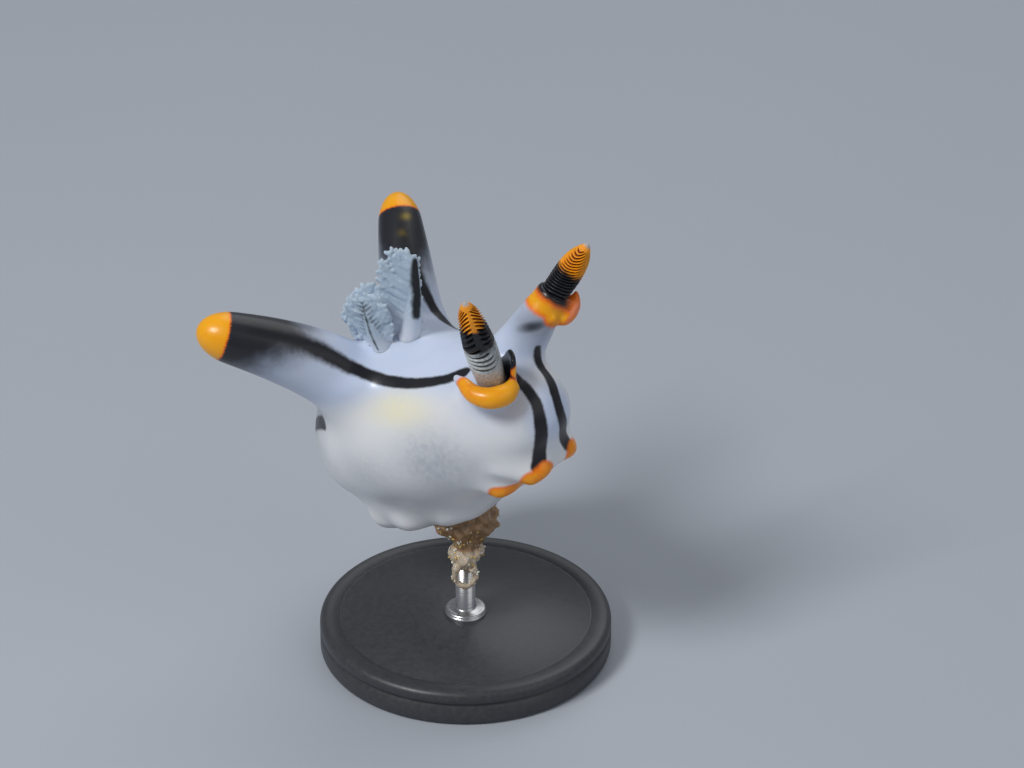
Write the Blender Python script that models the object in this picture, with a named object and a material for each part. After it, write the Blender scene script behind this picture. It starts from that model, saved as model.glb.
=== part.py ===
"""A still, life-size model of the sea slug Thecacera picta, on a scrap of debris and a display stand.

The slug is shaped in its own frame: +X to the head, +Y to its left and +Z to its back, with the
middle of the trunk at the origin. An empty then lifts and tips it into its pose. Sizes are in
millimetres, and every mesh is written in metres. The world origin is the middle of the stand's
underside.
"""

import math

import bmesh
import bpy
import numpy as np
from mathutils import Matrix, Vector

MM = 0.001
GAP = 0.3
NECK_PARTING = 0.4
TAIL_PARTING = 0.5

# Pose of the slug on its perch
TRUNK_HEIGHT = 10.4
TRUNK_OFFSET = (-0.63, -0.45)
PITCH_UP = math.radians(18)
ROLL_LEFT_SIDE_UP = math.radians(6)

# Body: centre x, y, z, half width and half height, from the snout to the tip of the tail
BODY_STATIONS = (
    (5.72, 0.0, -0.55, 0.0, 0.0),
    (5.32, 0.0, -0.15, 1.62, 1.70),
    (4.50, 0.0, 0.40, 2.26, 2.38),
    (3.10, 0.0, 0.65, 2.82, 2.88),
    (1.60, 0.0, 0.50, 3.25, 3.30),
    (0.00, 0.0, 0.36, 3.40, 3.56),
    (-1.80, 0.0, 0.12, 3.35, 3.58),
    (-3.50, 0.0, -0.42, 2.95, 3.18),
    (-4.85, 0.30, -1.20, 2.32, 2.45),
    (-5.70, 1.25, -1.95, 1.78, 1.78),
    (-6.05, 2.80, -2.60, 1.32, 1.30),
    (-5.60, 4.50, -3.05, 0.98, 0.95),
    (-4.50, 6.00, -3.35, 0.66, 0.66),
    (-3.00, 7.10, -3.50, 0.0, 0.0),
)
BODY_SIDES = 30
POLE_CLOSENESS = 1.6
POLE_MARGIN = 0.004
CUTTER_RINGS = 34
NECK_X = 2.7
TAIL_ROOT_X = -3.8
TAIL_BEND_POSITION = 8.5
HEAD_RINGS = 9
TRUNK_RINGS = 11
TAIL_PARTING_POSITION = 10.1
TAIL_BASE_RINGS = 7
TAIL_TIP_RINGS = 7

# Foot: a narrow sole under the body, from its front edge to the root of the tail
FOOT_FRONT_X = 3.0
FOOT_REAR_X = -5.3
FOOT_HALF_WIDTH = 1.5
FOOT_BELOW_BODY = 0.85
FOOT_DEPTH = 1.0
FOOT_WAVE = 0.16
FOOT_WAVES = 3.5
FOOT_REAR_FLARE = 0.5
FOOT_END_WIDTH = 0.25
FOOT_SQUARENESS = 0.6
FOOT_RINGS = 16
FOOT_SIDES = 20

# Lobes at the mouth and at the front corners of the foot: root, tip and half widths
ORAL_LOBE_ROOT = (4.2, 0.6, -0.6)
ORAL_LOBE_TIP = (5.45, 0.95, -1.85)
ORAL_LOBE_RADII = (0.62, 0.40)
FOOT_CORNER_ROOT = (2.9, 0.8, -1.9)
FOOT_CORNER_TIP = (4.1, 1.75, -1.9)
FOOT_CORNER_RADII = (0.62, 0.38)
LOBE_DOME = 0.6
LOBE_SIDES = 14
LOBE_RINGS = 7

# Dorsolateral processes: the spine of each side, and its radii from root to tip
PROCESS_RIGHT = ((-2.2, -1.5, 1.6), (-2.6, -2.3, 3.5), (-3.5, -3.95, 5.4), (-5.1, -6.15, 7.45))
PROCESS_LEFT = ((-2.1, 1.5, 1.8), (-2.3, 2.25, 3.5), (-3.2, 3.7, 5.3), (-4.6, 5.8, 7.54))
PROCESS_RADII = (1.6, 1.5, 1.27, 0.90)
PROCESS_LEFT_GIRTH = 0.88
PROCESS_DOME = 0.13
PROCESS_SIDES = 20
PROCESS_RINGS = 13

# Rhinophores and their sheaths: foot of the sheath, middle of its mouth and tip of the rhinophore
SHEATH_RIGHT = ((4.1, -0.9, 1.7), (4.95, -1.35, 3.15))
SHEATH_LEFT = ((3.9, 0.8, 1.7), (5.7, 1.85, 4.45))
SHEATH_ROOT_RADIUS = 1.25
SHEATH_MOUTH_RADIUS = 1.08
SHEATH_WALL = 0.24
SHEATH_RIM_RISE = 0.06
SHEATH_CUP_DEPTH = 0.40
SHEATH_LIP = 0.60
SHEATH_SIDES = 24
RHINOPHORE_TIP_RIGHT = (6.6, -2.6, 7.05)
RHINOPHORE_TIP_LEFT = (7.55, 3.4, 6.5)
RHINOPHORE_STALK_RADIUS = 0.55
RHINOPHORE_CLUB_RADIUS = 0.68
RHINOPHORE_TAPER_START = 0.6
RHINOPHORE_LAMELLAE = 9
LAMELLAE_START = 0.22
LAMELLAE_END = 0.94
LAMELLA_CREST = 0.45
LAMELLA_EDGE = 0.75
LAMELLA_RIDGE = 0.12
LAMELLA_DROOP = 0.22
RHINOPHORE_SIDES = 16

# Gill: plumes round one ring in the middle of the back, each by its turn round the ring, its tip,
# and the length of its longest side branches with their shares sideways and inwards
GILL_RING_CENTRE = (-1.15, 0.0, 3.5)
GILL_RING_RADIUS = 0.80
GILL_PLUMES = (
    (math.radians(8), (0.6, 0.7, 6.8), 2.00, 0.28, 1.00),
    (math.radians(-72), (-1.3, -1.2, 6.2), 1.00, 0.85, 0.10),
    (math.radians(-150), (-2.6, -0.55, 5.4), 0.60, 0.85, 0.10),
    (math.radians(150), (-2.9, 0.85, 6.4), 0.65, 0.85, 0.10),
    (math.radians(76), (-1.2, 1.8, 6.8), 0.90, 0.85, 0.10),
)
PLUME_BOW = 0.08
PLUME_ROOT_DEPTH = 0.6
RACHIS_RADII = (0.27, 0.29, 0.25, 0.16)
RACHIS_SIDES = 8
RACHIS_RINGS = 8
RACHIS_DOME = 0.12
PINNA_PAIRS = 6
PINNA_FIRST = 0.22
PINNA_LAST = 0.92
PINNA_RADII = (0.26, 0.24, 0.12)
PINNA_SIDES = 6
PINNA_RINGS = 4
PINNA_BEND = 0.55
PINNA_UPWARD = (0.30, 0.90)

# Perch: a scrap of debris that the foot grips, from its top down to its knob and hanging loop,
# each section by its middle x, y and height over the stand's underside, and its radius
PERCH_STATIONS = (
    (0.00, 0.00, 7.4, 1.45),
    (0.00, 0.00, 6.2, 1.35),
    (0.15, -0.05, 5.5, 0.90),
    (0.30, -0.15, 4.9, 0.62),
    (0.32, -0.30, 4.5, 0.78),
    (0.32, -0.36, 4.1, 0.80),
    (0.30, -0.30, 3.8, 0.50),
)
PERCH_SIDES = 16
PERCH_LUMP = 0.12
PERCH_LUMPS_ROUND = 3
PERCH_TWIST = 1.7
LOOP_CENTRE = (0.62, -0.74, 4.02)
LOOP_HALF_WIDTH = 0.42
LOOP_HALF_HEIGHT = 0.48
LOOP_OPENING = math.radians(80)
LOOP_STRAND_RADIUS = 0.22
LOOP_FACING = math.radians(40)
LOOP_SIDES = 8
LOOP_RINGS = 18

# Display stand
BASE_RADIUS = 6.0
BASE_THICKNESS = 1.5
BASE_EDGE_BEVEL = 0.25
BASE_SIDES = 48
ROD_RADIUS = 0.4
ROD_SIDES = 20

# Finishes: colour, roughness, metallic
FLESH = ((0.62, 0.68, 0.76, 1.0), 0.35, 0.0)
GILL_FLESH = ((0.55, 0.64, 0.74, 1.0), 0.35, 0.0)
LAMELLAR_FLESH = ((0.90, 0.36, 0.03, 1.0), 0.4, 0.0)
ORANGE_FLESH = ((0.95, 0.33, 0.02, 1.0), 0.35, 0.0)
DEBRIS = ((0.30, 0.20, 0.11, 1.0), 0.8, 0.0)
STAND_PAINT = ((0.06, 0.06, 0.065, 1.0), 0.45, 0.0)
ROD_STEEL = ((0.60, 0.60, 0.61, 1.0), 0.25, 1.0)


def clear_scene():
    """Remove every object that the scene starts with."""
    for item in list(bpy.data.objects):
        bpy.data.objects.remove(item, do_unlink=True)


def smooth_row(rows, position):
    """Read a smooth curve through the rows, where whole positions land on them."""
    rows = np.asarray(rows, float)
    last = len(rows) - 1
    index = min(int(position), last - 1)
    part = position - index
    before = rows[index - 1] if index > 0 else 2 * rows[0] - rows[1]
    start = rows[index]
    end = rows[index + 1]
    after = rows[index + 2] if index + 2 <= last else 2 * rows[last] - rows[last - 1]
    return 0.5 * (
        2 * start
        + (end - before) * part
        + (2 * before - 5 * start + 4 * end - after) * part ** 2
        + (3 * start - before - 3 * end + after) * part ** 3
    )


def section_frame(tangent, up_hint=(0, 0, 1)):
    """Give the side and up directions of a section across the tangent."""
    tangent = tangent.normalized()
    side = Vector(up_hint).cross(tangent)
    if side.length < 1e-6:
        side = Vector((0, 1, 0))
    side.normalize()
    return side, tangent.cross(side)


def make_object(name, rings, finish, parent=None):
    """Skin closed rings of points, in order, into one closed mesh object with fanned ends."""
    mesh = bpy.data.meshes.new(name)
    shell = bmesh.new()
    made = [[shell.verts.new(Vector(point) * MM) for point in ring] for ring in rings]
    for lower, upper in zip(made, made[1:]):
        count = len(lower)
        for index in range(count):
            following = (index + 1) % count
            shell.faces.new((lower[index], lower[following], upper[following], upper[index]))
    for ring, flip in ((made[0], True), (made[-1], False)):
        centre = shell.verts.new(sum((vertex.co for vertex in ring), Vector()) / len(ring))
        count = len(ring)
        for index in range(count):
            pair = (ring[index], ring[(index + 1) % count])
            if flip:
                pair = pair[::-1]
            shell.faces.new((pair[0], pair[1], centre))
    bmesh.ops.recalc_face_normals(shell, faces=shell.faces)
    shell.to_mesh(mesh)
    shell.free()
    piece = bpy.data.objects.new(name, mesh)
    bpy.context.scene.collection.objects.link(piece)
    piece.parent = parent
    if finish is not None:
        mesh.materials.append(finish_material(name, finish))
    return piece


def finish_material(name, finish):
    """Make the Principled material of one object."""
    colour, roughness, metallic = finish
    material = bpy.data.materials.new(name + "_finish")
    material.use_nodes = True
    shader = material.node_tree.nodes["Principled BSDF"]
    shader.inputs["Base Color"].default_value = colour
    shader.inputs["Roughness"].default_value = roughness
    shader.inputs["Metallic"].default_value = metallic
    return material


def apply_modifiers(piece):
    """Replace the object's mesh by the evaluated one and drop its modifiers."""
    bpy.context.view_layer.update()
    depsgraph = bpy.context.evaluated_depsgraph_get()
    mesh = bpy.data.meshes.new_from_object(piece.evaluated_get(depsgraph))
    piece.modifiers.clear()
    old = piece.data
    piece.data = mesh
    bpy.data.meshes.remove(old)


def keep_largest(piece):
    """Keep only the largest closed surface of the object."""
    shell = bmesh.new()
    shell.from_mesh(piece.data)
    groups = []
    unseen = set(shell.verts)
    while unseen:
        stack = [unseen.pop()]
        group = set(stack)
        while stack:
            for edge in stack.pop().link_edges:
                for vertex in edge.verts:
                    if vertex in unseen:
                        unseen.discard(vertex)
                        group.add(vertex)
                        stack.append(vertex)
        groups.append(group)
    groups.sort(key=group_reach, reverse=True)
    for group in groups[1:]:
        bmesh.ops.delete(shell, geom=list(group), context="VERTS")
    shell.to_mesh(piece.data)
    shell.free()


def group_reach(group):
    """Measure how far a group of vertices reaches, corner to corner."""
    places = [vertex.co for vertex in group]
    low = Vector([min(place[axis] for place in places) for axis in range(3)])
    high = Vector([max(place[axis] for place in places) for axis in range(3)])
    return (high - low).length


def cut_away(piece, cutter):
    """Cut the cutter's shape out of the piece and remove the cutter."""
    modifier = piece.modifiers.new("cut", "BOOLEAN")
    modifier.operation = "DIFFERENCE"
    modifier.object = cutter
    apply_modifiers(piece)
    bpy.data.objects.remove(cutter, do_unlink=True)
    keep_largest(piece)


def fuse(piece, others):
    """Join the other closed objects to the piece by one union and remove them."""
    group = bpy.data.collections.new(piece.name + "_pieces")
    bpy.context.scene.collection.children.link(group)
    for other in others:
        bpy.context.scene.collection.objects.unlink(other)
        group.objects.link(other)
    modifier = piece.modifiers.new("fuse", "BOOLEAN")
    modifier.operation = "UNION"
    modifier.operand_type = "COLLECTION"
    modifier.collection = group
    apply_modifiers(piece)
    for other in others:
        bpy.data.objects.remove(other, do_unlink=True)
    bpy.data.collections.remove(group)
    keep_largest(piece)


def body_row(position):
    """Give centre, half width and half height of the body at a position on its stations."""
    rows = [(x, y, z, width ** 2, height ** 2) for x, y, z, width, height in BODY_STATIONS]
    row = smooth_row(rows, position)
    width, height = np.sqrt(np.maximum(row[3:], 0.0))
    return Vector(row[:3]), width, height


def body_position(x):
    """Find where along the stations the body's centre passes x, ahead of the tail's bend."""
    low = 0.0
    high = TAIL_BEND_POSITION
    for _ in range(40):
        middle = (low + high) / 2
        if body_row(middle)[0].x > x:
            low = middle
        else:
            high = middle
    return low


def position_step(position, distance):
    """Give the change of position that moves the body's centre by the distance."""
    here = body_row(position)[0]
    near = body_row(position + 0.01)[0]
    return distance * 0.01 / (near - here).length


def body_ring(position):
    """Give one section of the body."""
    centre, width, height = body_row(position)
    step = 0.01
    end = len(BODY_STATIONS) - 1
    ahead = body_row(min(position + step, end))[0]
    behind = body_row(max(position - step, 0))[0]
    side, up = section_frame(ahead - behind)
    ring = []
    for index in range(BODY_SIDES):
        angle = 2 * math.pi * index / BODY_SIDES
        ring.append(centre + side * width * math.cos(angle) + up * height * math.sin(angle))
    return ring


def body_piece(name, start, end, rings, finish, parent):
    """Loft the body between two positions, with rings set closer near its two poles."""
    last = len(BODY_STATIONS) - 1
    made = []
    for index in range(rings + 1):
        part = index / rings
        if start == 0:
            part = part ** POLE_CLOSENESS
        if end == last:
            part = 1 - (1 - part) ** POLE_CLOSENESS
        position = start + (end - start) * part
        position = min(max(position, POLE_MARGIN), last - POLE_MARGIN)
        made.append(body_ring(position))
    return make_object(name, made, finish, parent)


def grow(piece, distance):
    """Move every vertex of the piece outwards along its normal."""
    moves = [vertex.normal * distance * MM for vertex in piece.data.vertices]
    for vertex, move in zip(piece.data.vertices, moves):
        vertex.co += move
    return piece


def body_cutter(parent):
    """Make the whole body, grown by the clearance."""
    last = len(BODY_STATIONS) - 1
    return grow(body_piece("body_cutter", 0, last, CUTTER_RINGS, None, parent), GAP)


def foot_cutter(parent):
    """Make the whole foot, grown by the clearance."""
    return grow(foot_piece("foot_cutter", parent, None), GAP)


def tube_rings(path, radii, sides, rings, dome=0.0, flatten=1.0):
    """Give the rings of a smooth tapered tube, with an optional domed tip."""
    made = []
    last = len(path) - 1
    rows = [(radius,) for radius in radii]
    for index in range(rings + 1):
        part = index / rings
        if dome:
            part = 1 - (1 - part) ** 1.5
        position = min(part * last, last - 0.002)
        centre = Vector(smooth_row(path, position))
        ahead = Vector(smooth_row(path, min(position + 0.01, last)))
        behind = Vector(smooth_row(path, max(position - 0.01, 0)))
        radius = smooth_row(rows, part * (len(radii) - 1) * 0.9999)[0]
        if dome and part > 1 - dome:
            radius *= math.sqrt(max(1 - ((part - 1 + dome) / dome) ** 2, 0.0004))
        side, up = section_frame(ahead - behind)
        made.append([
            centre
            + side * radius * math.cos(2 * math.pi * turn / sides)
            + up * radius * flatten * math.sin(2 * math.pi * turn / sides)
            for turn in range(sides)
        ])
    return made


def make_body(parent):
    """Make head, trunk and tail, parted by thin cuts across the body."""
    neck = body_position(NECK_X)
    neck_behind = neck + position_step(neck, NECK_PARTING)
    tail_root = body_position(TAIL_ROOT_X)
    tail_behind = tail_root + position_step(tail_root, TAIL_PARTING)
    last = len(BODY_STATIONS) - 1
    body_piece("head", 0, neck, HEAD_RINGS, FLESH, parent)
    body_piece("trunk", neck_behind, tail_root, TRUNK_RINGS, FLESH, parent)
    parting_behind = TAIL_PARTING_POSITION + position_step(TAIL_PARTING_POSITION, TAIL_PARTING)
    body_piece("tail_base", tail_behind, TAIL_PARTING_POSITION, TAIL_BASE_RINGS, FLESH, parent)
    body_piece("tail_tip", parting_behind, last, TAIL_TIP_RINGS, FLESH, parent)


def foot_piece(name, parent, finish):
    """Loft the strip of the foot under the body."""
    rings = []
    for index in range(FOOT_RINGS + 1):
        part = index / FOOT_RINGS
        x = FOOT_FRONT_X + (FOOT_REAR_X - FOOT_FRONT_X) * part
        centre, _, height = body_row(body_position(x))
        taper = max(math.sqrt(1 - abs(2 * part - 1) ** 4), FOOT_END_WIDTH)
        wave = 1 + FOOT_WAVE * math.sin(2 * math.pi * FOOT_WAVES * part)
        half_width = FOOT_HALF_WIDTH * taper * wave * (1 + FOOT_REAR_FLARE * part ** 2)
        middle = centre.z - height - FOOT_BELOW_BODY + FOOT_DEPTH
        ring = []
        for turn in range(FOOT_SIDES):
            angle = 2 * math.pi * turn / FOOT_SIDES
            across = squared(math.cos(angle))
            upward = squared(math.sin(angle))
            ring.append(Vector((
                x,
                centre.y + across * half_width,
                middle + upward * FOOT_DEPTH,
            )))
        rings.append(ring)
    return make_object(name, rings, finish, parent)


def squared(value):
    """Push a sine or cosine outwards, so that a round section becomes squarer."""
    return math.copysign(abs(value) ** FOOT_SQUARENESS, value)


def make_foot(parent):
    """Make the foot, cut to the underside of the body."""
    foot = foot_piece("foot", parent, FLESH)
    cut_away(foot, body_cutter(parent))


def make_lobes(parent):
    """Make the two lobes at the mouth and the two front corners of the foot."""
    for side_name, side in (("right", -1), ("left", 1)):
        for name, root, tip, radii in (
            ("oral_lobe_", ORAL_LOBE_ROOT, ORAL_LOBE_TIP, ORAL_LOBE_RADII),
            ("foot_corner_", FOOT_CORNER_ROOT, FOOT_CORNER_TIP, FOOT_CORNER_RADII),
        ):
            path = [(x, y * side, z) for x, y, z in (root, tip)]
            width, depth = radii
            rings = tube_rings(
                path, (width, width), LOBE_SIDES, LOBE_RINGS, LOBE_DOME, depth / width)
            lobe = make_object(name + side_name, rings, ORANGE_FLESH, parent)
            cut_away(lobe, body_cutter(parent))
            if name == "foot_corner_":
                cut_away(lobe, foot_cutter(parent))


def make_processes(parent):
    """Make the two long dorsolateral processes."""
    for name, path, girth in (
        ("process_right", PROCESS_RIGHT, 1.0),
        ("process_left", PROCESS_LEFT, PROCESS_LEFT_GIRTH),
    ):
        radii = [radius * girth for radius in PROCESS_RADII]
        rings = tube_rings(path, radii, PROCESS_SIDES, PROCESS_RINGS, PROCESS_DOME)
        process = make_object(name, rings, FLESH, parent)
        cut_away(process, body_cutter(parent))


def sheath_rings(root, mouth, outward):
    """Give the rings of a sheath: up its outside, over the rim and down into its cup."""
    root = Vector(root)
    mouth = Vector(mouth)
    axis = (mouth - root).normalized()
    side, up = section_frame(axis, (0, 1, 0))
    length = (mouth - root).length
    inside = SHEATH_MOUTH_RADIUS - SHEATH_WALL
    profile = (
        (0.0, SHEATH_ROOT_RADIUS, 0.0),
        (0.35 * length, SHEATH_ROOT_RADIUS * 0.85, 0.0),
        (0.7 * length, SHEATH_MOUTH_RADIUS * 0.92, 0.35),
        (0.9 * length, SHEATH_MOUTH_RADIUS * 0.98, 0.8),
        (length, SHEATH_MOUTH_RADIUS, 1.0),
        (length + SHEATH_RIM_RISE, SHEATH_MOUTH_RADIUS - 0.4 * SHEATH_WALL, 0.85),
        (length, inside, 0.5),
        (length - SHEATH_CUP_DEPTH, 0.96 * inside, 0.0),
    )
    rings = []
    for along, radius, lip in profile:
        ring = []
        for turn in range(SHEATH_SIDES):
            angle = 2 * math.pi * turn / SHEATH_SIDES
            direction = side * math.cos(angle) + up * math.sin(angle)
            facing = max(direction.dot(outward), 0.0) ** 2
            spread = radius + SHEATH_LIP * lip * facing
            ring.append(root + axis * along + direction * spread)
        rings.append(ring)
    return rings


def make_sheaths(parent):
    """Make the sheaths that the rhinophores stand in, each with its outer lip."""
    for name, (root, mouth), side in (
        ("rhinophore_sheath_right", SHEATH_RIGHT, -1),
        ("rhinophore_sheath_left", SHEATH_LEFT, 1),
    ):
        rings = sheath_rings(root, mouth, Vector((0.2, side, 0)).normalized())
        sheath = make_object(name, rings, FLESH, parent)
        cut_away(sheath, body_cutter(parent))


def rhinophore_stops():
    """List the rings of a rhinophore: part of the length, and part of a lamella's full ridge."""
    pitch = (LAMELLAE_END - LAMELLAE_START) / RHINOPHORE_LAMELLAE
    stops = [(0.0, 0.0), (LAMELLAE_START * 0.55, 0.0)]
    for index in range(RHINOPHORE_LAMELLAE):
        start = LAMELLAE_START + index * pitch
        stops.append((start, 0.0))
        stops.append((start + LAMELLA_CREST * pitch, 1.0))
        stops.append((start + LAMELLA_EDGE * pitch, 0.9))
    bare = 1 - LAMELLAE_END
    stops.append((LAMELLAE_END + 0.25 * bare, 0.0))
    stops.append((LAMELLAE_END + 0.75 * bare, 0.0))
    return stops


def rhinophore_radius(part):
    """Give the radius under the lamellae at a part of the rhinophore's length."""
    swell = math.sin(math.pi * max((part - 0.1) / 0.9, 0.0) ** 0.8)
    radius = RHINOPHORE_STALK_RADIUS
    radius += (RHINOPHORE_CLUB_RADIUS - RHINOPHORE_STALK_RADIUS) * swell
    if part > RHINOPHORE_TAPER_START:
        taper = (part - RHINOPHORE_TAPER_START) / (1 - RHINOPHORE_TAPER_START)
        radius *= math.sqrt(max(1 - taper ** 2, 0.03))
    return radius


def rhinophore_rings(root, tip):
    """Give the rings of a rhinophore: a plain foot, ridged lamellae and a small bare point."""
    axis = (tip - root).normalized()
    side, up = section_frame(axis, (0, 1, 0))
    length = (tip - root).length
    rings = []
    for part, ridge in rhinophore_stops():
        radius = rhinophore_radius(part)
        radius += LAMELLA_RIDGE * ridge * min(1.0, radius)
        droop = LAMELLA_DROOP * min(part / LAMELLAE_START, 1.0)
        if part > LAMELLAE_END:
            droop = 0.0
        ring = []
        for turn in range(RHINOPHORE_SIDES):
            angle = 2 * math.pi * turn / RHINOPHORE_SIDES
            along = length * part - droop * abs(math.sin(angle))
            outward = side * math.cos(angle) + up * math.sin(angle)
            ring.append(root + axis * along + outward * radius)
        rings.append(ring)
    return rings


def make_rhinophores(parent):
    """Make the two lamellate rhinophores, each standing in its sheath's cup."""
    for name, (sheath_root, mouth), tip in (
        ("rhinophore_right", SHEATH_RIGHT, RHINOPHORE_TIP_RIGHT),
        ("rhinophore_left", SHEATH_LEFT, RHINOPHORE_TIP_LEFT),
    ):
        mouth = Vector(mouth)
        axis = (mouth - Vector(sheath_root)).normalized()
        root = mouth - axis * (SHEATH_CUP_DEPTH - GAP)
        make_object(name, rhinophore_rings(root, Vector(tip)), LAMELLAR_FLESH, parent)


def plume_pieces(name, root, outward, tip, reach, fan, inward, parent):
    """Make one plume's rachis and its side branches as closed pieces, ready to fuse."""
    axis = (tip - root).normalized()
    length = (tip - root).length
    across = axis.cross(outward).normalized()
    bow = root.lerp(tip, 0.5) + outward * PLUME_BOW * length
    path = (root - axis * PLUME_ROOT_DEPTH, root, bow, tip)
    rings = tube_rings(path, RACHIS_RADII, RACHIS_SIDES, RACHIS_RINGS, RACHIS_DOME)
    rachis = make_object(name, rings, GILL_FLESH, parent)
    branches = []
    for pair in range(PINNA_PAIRS):
        part = PINNA_FIRST + (PINNA_LAST - PINNA_FIRST) * pair / (PINNA_PAIRS - 1)
        start = Vector(smooth_row(path, 1 + 2 * part))
        span = reach * pinna_share(part)
        for side in (-1, 1):
            spread = across * side * fan - outward * inward
            low, high = ((spread + axis * upward).normalized() for upward in PINNA_UPWARD)
            bend = start + low * span * PINNA_BEND
            end = bend + high * span * (1 - PINNA_BEND)
            twig = tube_rings((start, bend, end), PINNA_RADII, PINNA_SIDES, PINNA_RINGS)
            branches.append(make_object(name + "_branch", twig, None, parent))
    return rachis, branches


def pinna_share(part):
    """Give the length of a side branch, as a share of the longest, at a part of the plume."""
    return math.sin(math.pi * part ** 1.3) ** 0.8


def make_gill(parent):
    """Make the gill's plumes, each with its side branches fused to its rachis."""
    centre = Vector(GILL_RING_CENTRE)
    for number, (turn, tip, *spread) in enumerate(GILL_PLUMES, start=1):
        outward = Vector((math.cos(turn), math.sin(turn), 0))
        root = centre + outward * GILL_RING_RADIUS
        name = f"gill_plume_{number}"
        rachis, branches = plume_pieces(name, root, outward, Vector(tip), *spread, parent)
        fuse(rachis, branches)
        cut_away(rachis, body_cutter(parent))


def perch_rings():
    """Give the rings of the perch's lumpy stem and knob."""
    rings = []
    for number, (x, y, height, radius) in enumerate(PERCH_STATIONS):
        ring = []
        for turn in range(PERCH_SIDES):
            angle = 2 * math.pi * turn / PERCH_SIDES
            lump = PERCH_LUMP * math.sin(PERCH_LUMPS_ROUND * angle + PERCH_TWIST * number)
            reach = radius * (1 + lump)
            ring.append(Vector((x + reach * math.cos(angle), y + reach * math.sin(angle), height)))
        rings.append(ring)
    return rings


def loop_rings():
    """Give the rings of the loop's strand, from one root in the knob round to the other."""
    centre = Vector(LOOP_CENTRE)
    across = Vector((math.cos(LOOP_FACING), math.sin(LOOP_FACING), 0))
    upward = Vector((0, 0, 1))
    depth = across.cross(upward)
    rings = []
    for step in range(LOOP_RINGS + 1):
        turned = LOOP_OPENING / 2 + (2 * math.pi - LOOP_OPENING) * step / LOOP_RINGS
        sideways = math.sin(turned)
        lifted = math.cos(turned)
        middle = centre + across * LOOP_HALF_WIDTH * sideways + upward * LOOP_HALF_HEIGHT * lifted
        outward = (across * sideways + upward * lifted).normalized()
        rings.append([
            middle
            + outward * LOOP_STRAND_RADIUS * math.cos(2 * math.pi * turn / LOOP_SIDES)
            + depth * LOOP_STRAND_RADIUS * math.sin(2 * math.pi * turn / LOOP_SIDES)
            for turn in range(LOOP_SIDES)
        ])
    return rings


def make_perch(parent):
    """Make the scrap of debris under the foot, with its knob and its small loop."""
    perch = make_object("perch_stem", perch_rings(), DEBRIS)
    fuse(perch, [make_object("perch_loop", loop_rings(), None)])
    cut_away(perch, foot_cutter(parent))
    cut_away(perch, body_cutter(parent))


def make_stand():
    """Make the flat base and the short rod that holds the perch."""
    rim = BASE_EDGE_BEVEL
    profile = (
        (BASE_RADIUS - rim, 0.0),
        (BASE_RADIUS, rim),
        (BASE_RADIUS, BASE_THICKNESS - rim),
        (BASE_RADIUS - rim, BASE_THICKNESS),
    )
    turned_piece("stand_base", profile, BASE_SIDES, STAND_PAINT)
    rod_top = PERCH_STATIONS[-1][2] - GAP
    profile = ((ROD_RADIUS, BASE_THICKNESS + GAP), (ROD_RADIUS, rod_top))
    turned_piece("stand_rod", profile, ROD_SIDES, ROD_STEEL)


def turned_piece(name, profile, sides, finish):
    """Turn a profile of radius and height round the upright axis."""
    rings = [
        [
            Vector((
                radius * math.cos(2 * math.pi * turn / sides),
                radius * math.sin(2 * math.pi * turn / sides),
                height,
            ))
            for turn in range(sides)
        ]
        for radius, height in profile
    ]
    return make_object(name, rings, finish)


def slug_pose():
    """Give the matrix that lifts the slug to its perch and tips it into its pose."""
    place = Vector((TRUNK_OFFSET[0], TRUNK_OFFSET[1], TRUNK_HEIGHT)) * MM
    pitch = Matrix.Rotation(-PITCH_UP, 4, "Y")
    roll = Matrix.Rotation(ROLL_LEFT_SIDE_UP, 4, "X")
    return Matrix.Translation(place) @ pitch @ roll


def main():
    clear_scene()
    slug = bpy.data.objects.new("slug", None)
    bpy.context.scene.collection.objects.link(slug)
    slug.matrix_world = slug_pose()
    bpy.context.view_layer.update()
    make_body(slug)
    make_foot(slug)
    make_lobes(slug)
    make_processes(slug)
    make_sheaths(slug)
    make_rhinophores(slug)
    make_gill(slug)
    make_perch(slug)
    make_stand()


main()
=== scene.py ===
"""Looks of a still, life-size model of the sea slug Thecacera picta on its perch and display stand.

One skin covers the flesh. Two lamellate rhinophores, a gill of feathery plumes, the scrap of debris
that the foot grips and a turned stand complete it. The slug is shaped in its own frame, in
millimetres: +X to the head, +Y to its left and +Z to its back, with the middle of the trunk at the
origin. Its pose then lifts and tips it, in metres.
"""

import math

import bpy
import numpy as np
from bpy.props import FloatProperty, FloatVectorProperty, IntProperty, PointerProperty
from mathutils import Matrix, Vector
from mathutils.kdtree import KDTree


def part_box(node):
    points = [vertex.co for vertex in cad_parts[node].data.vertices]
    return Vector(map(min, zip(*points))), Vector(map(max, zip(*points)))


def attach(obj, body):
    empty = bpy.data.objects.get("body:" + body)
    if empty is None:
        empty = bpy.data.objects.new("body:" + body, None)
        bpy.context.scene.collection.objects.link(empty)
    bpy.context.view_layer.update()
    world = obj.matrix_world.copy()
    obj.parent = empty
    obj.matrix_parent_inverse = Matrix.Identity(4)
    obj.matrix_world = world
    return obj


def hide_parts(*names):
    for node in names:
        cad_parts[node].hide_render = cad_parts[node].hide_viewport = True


bl_info = {
    "name": "Painted sea slug on a stand",
    "version": (1, 0, 0),
    "blender": (4, 5, 0),
    "location": "3D View > Sidebar > Sea Slug",
    "description": "Skin, rhinophores, gill, perch, stand and stage of a life-size sea slug model",
    "category": "Object",
}

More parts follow.
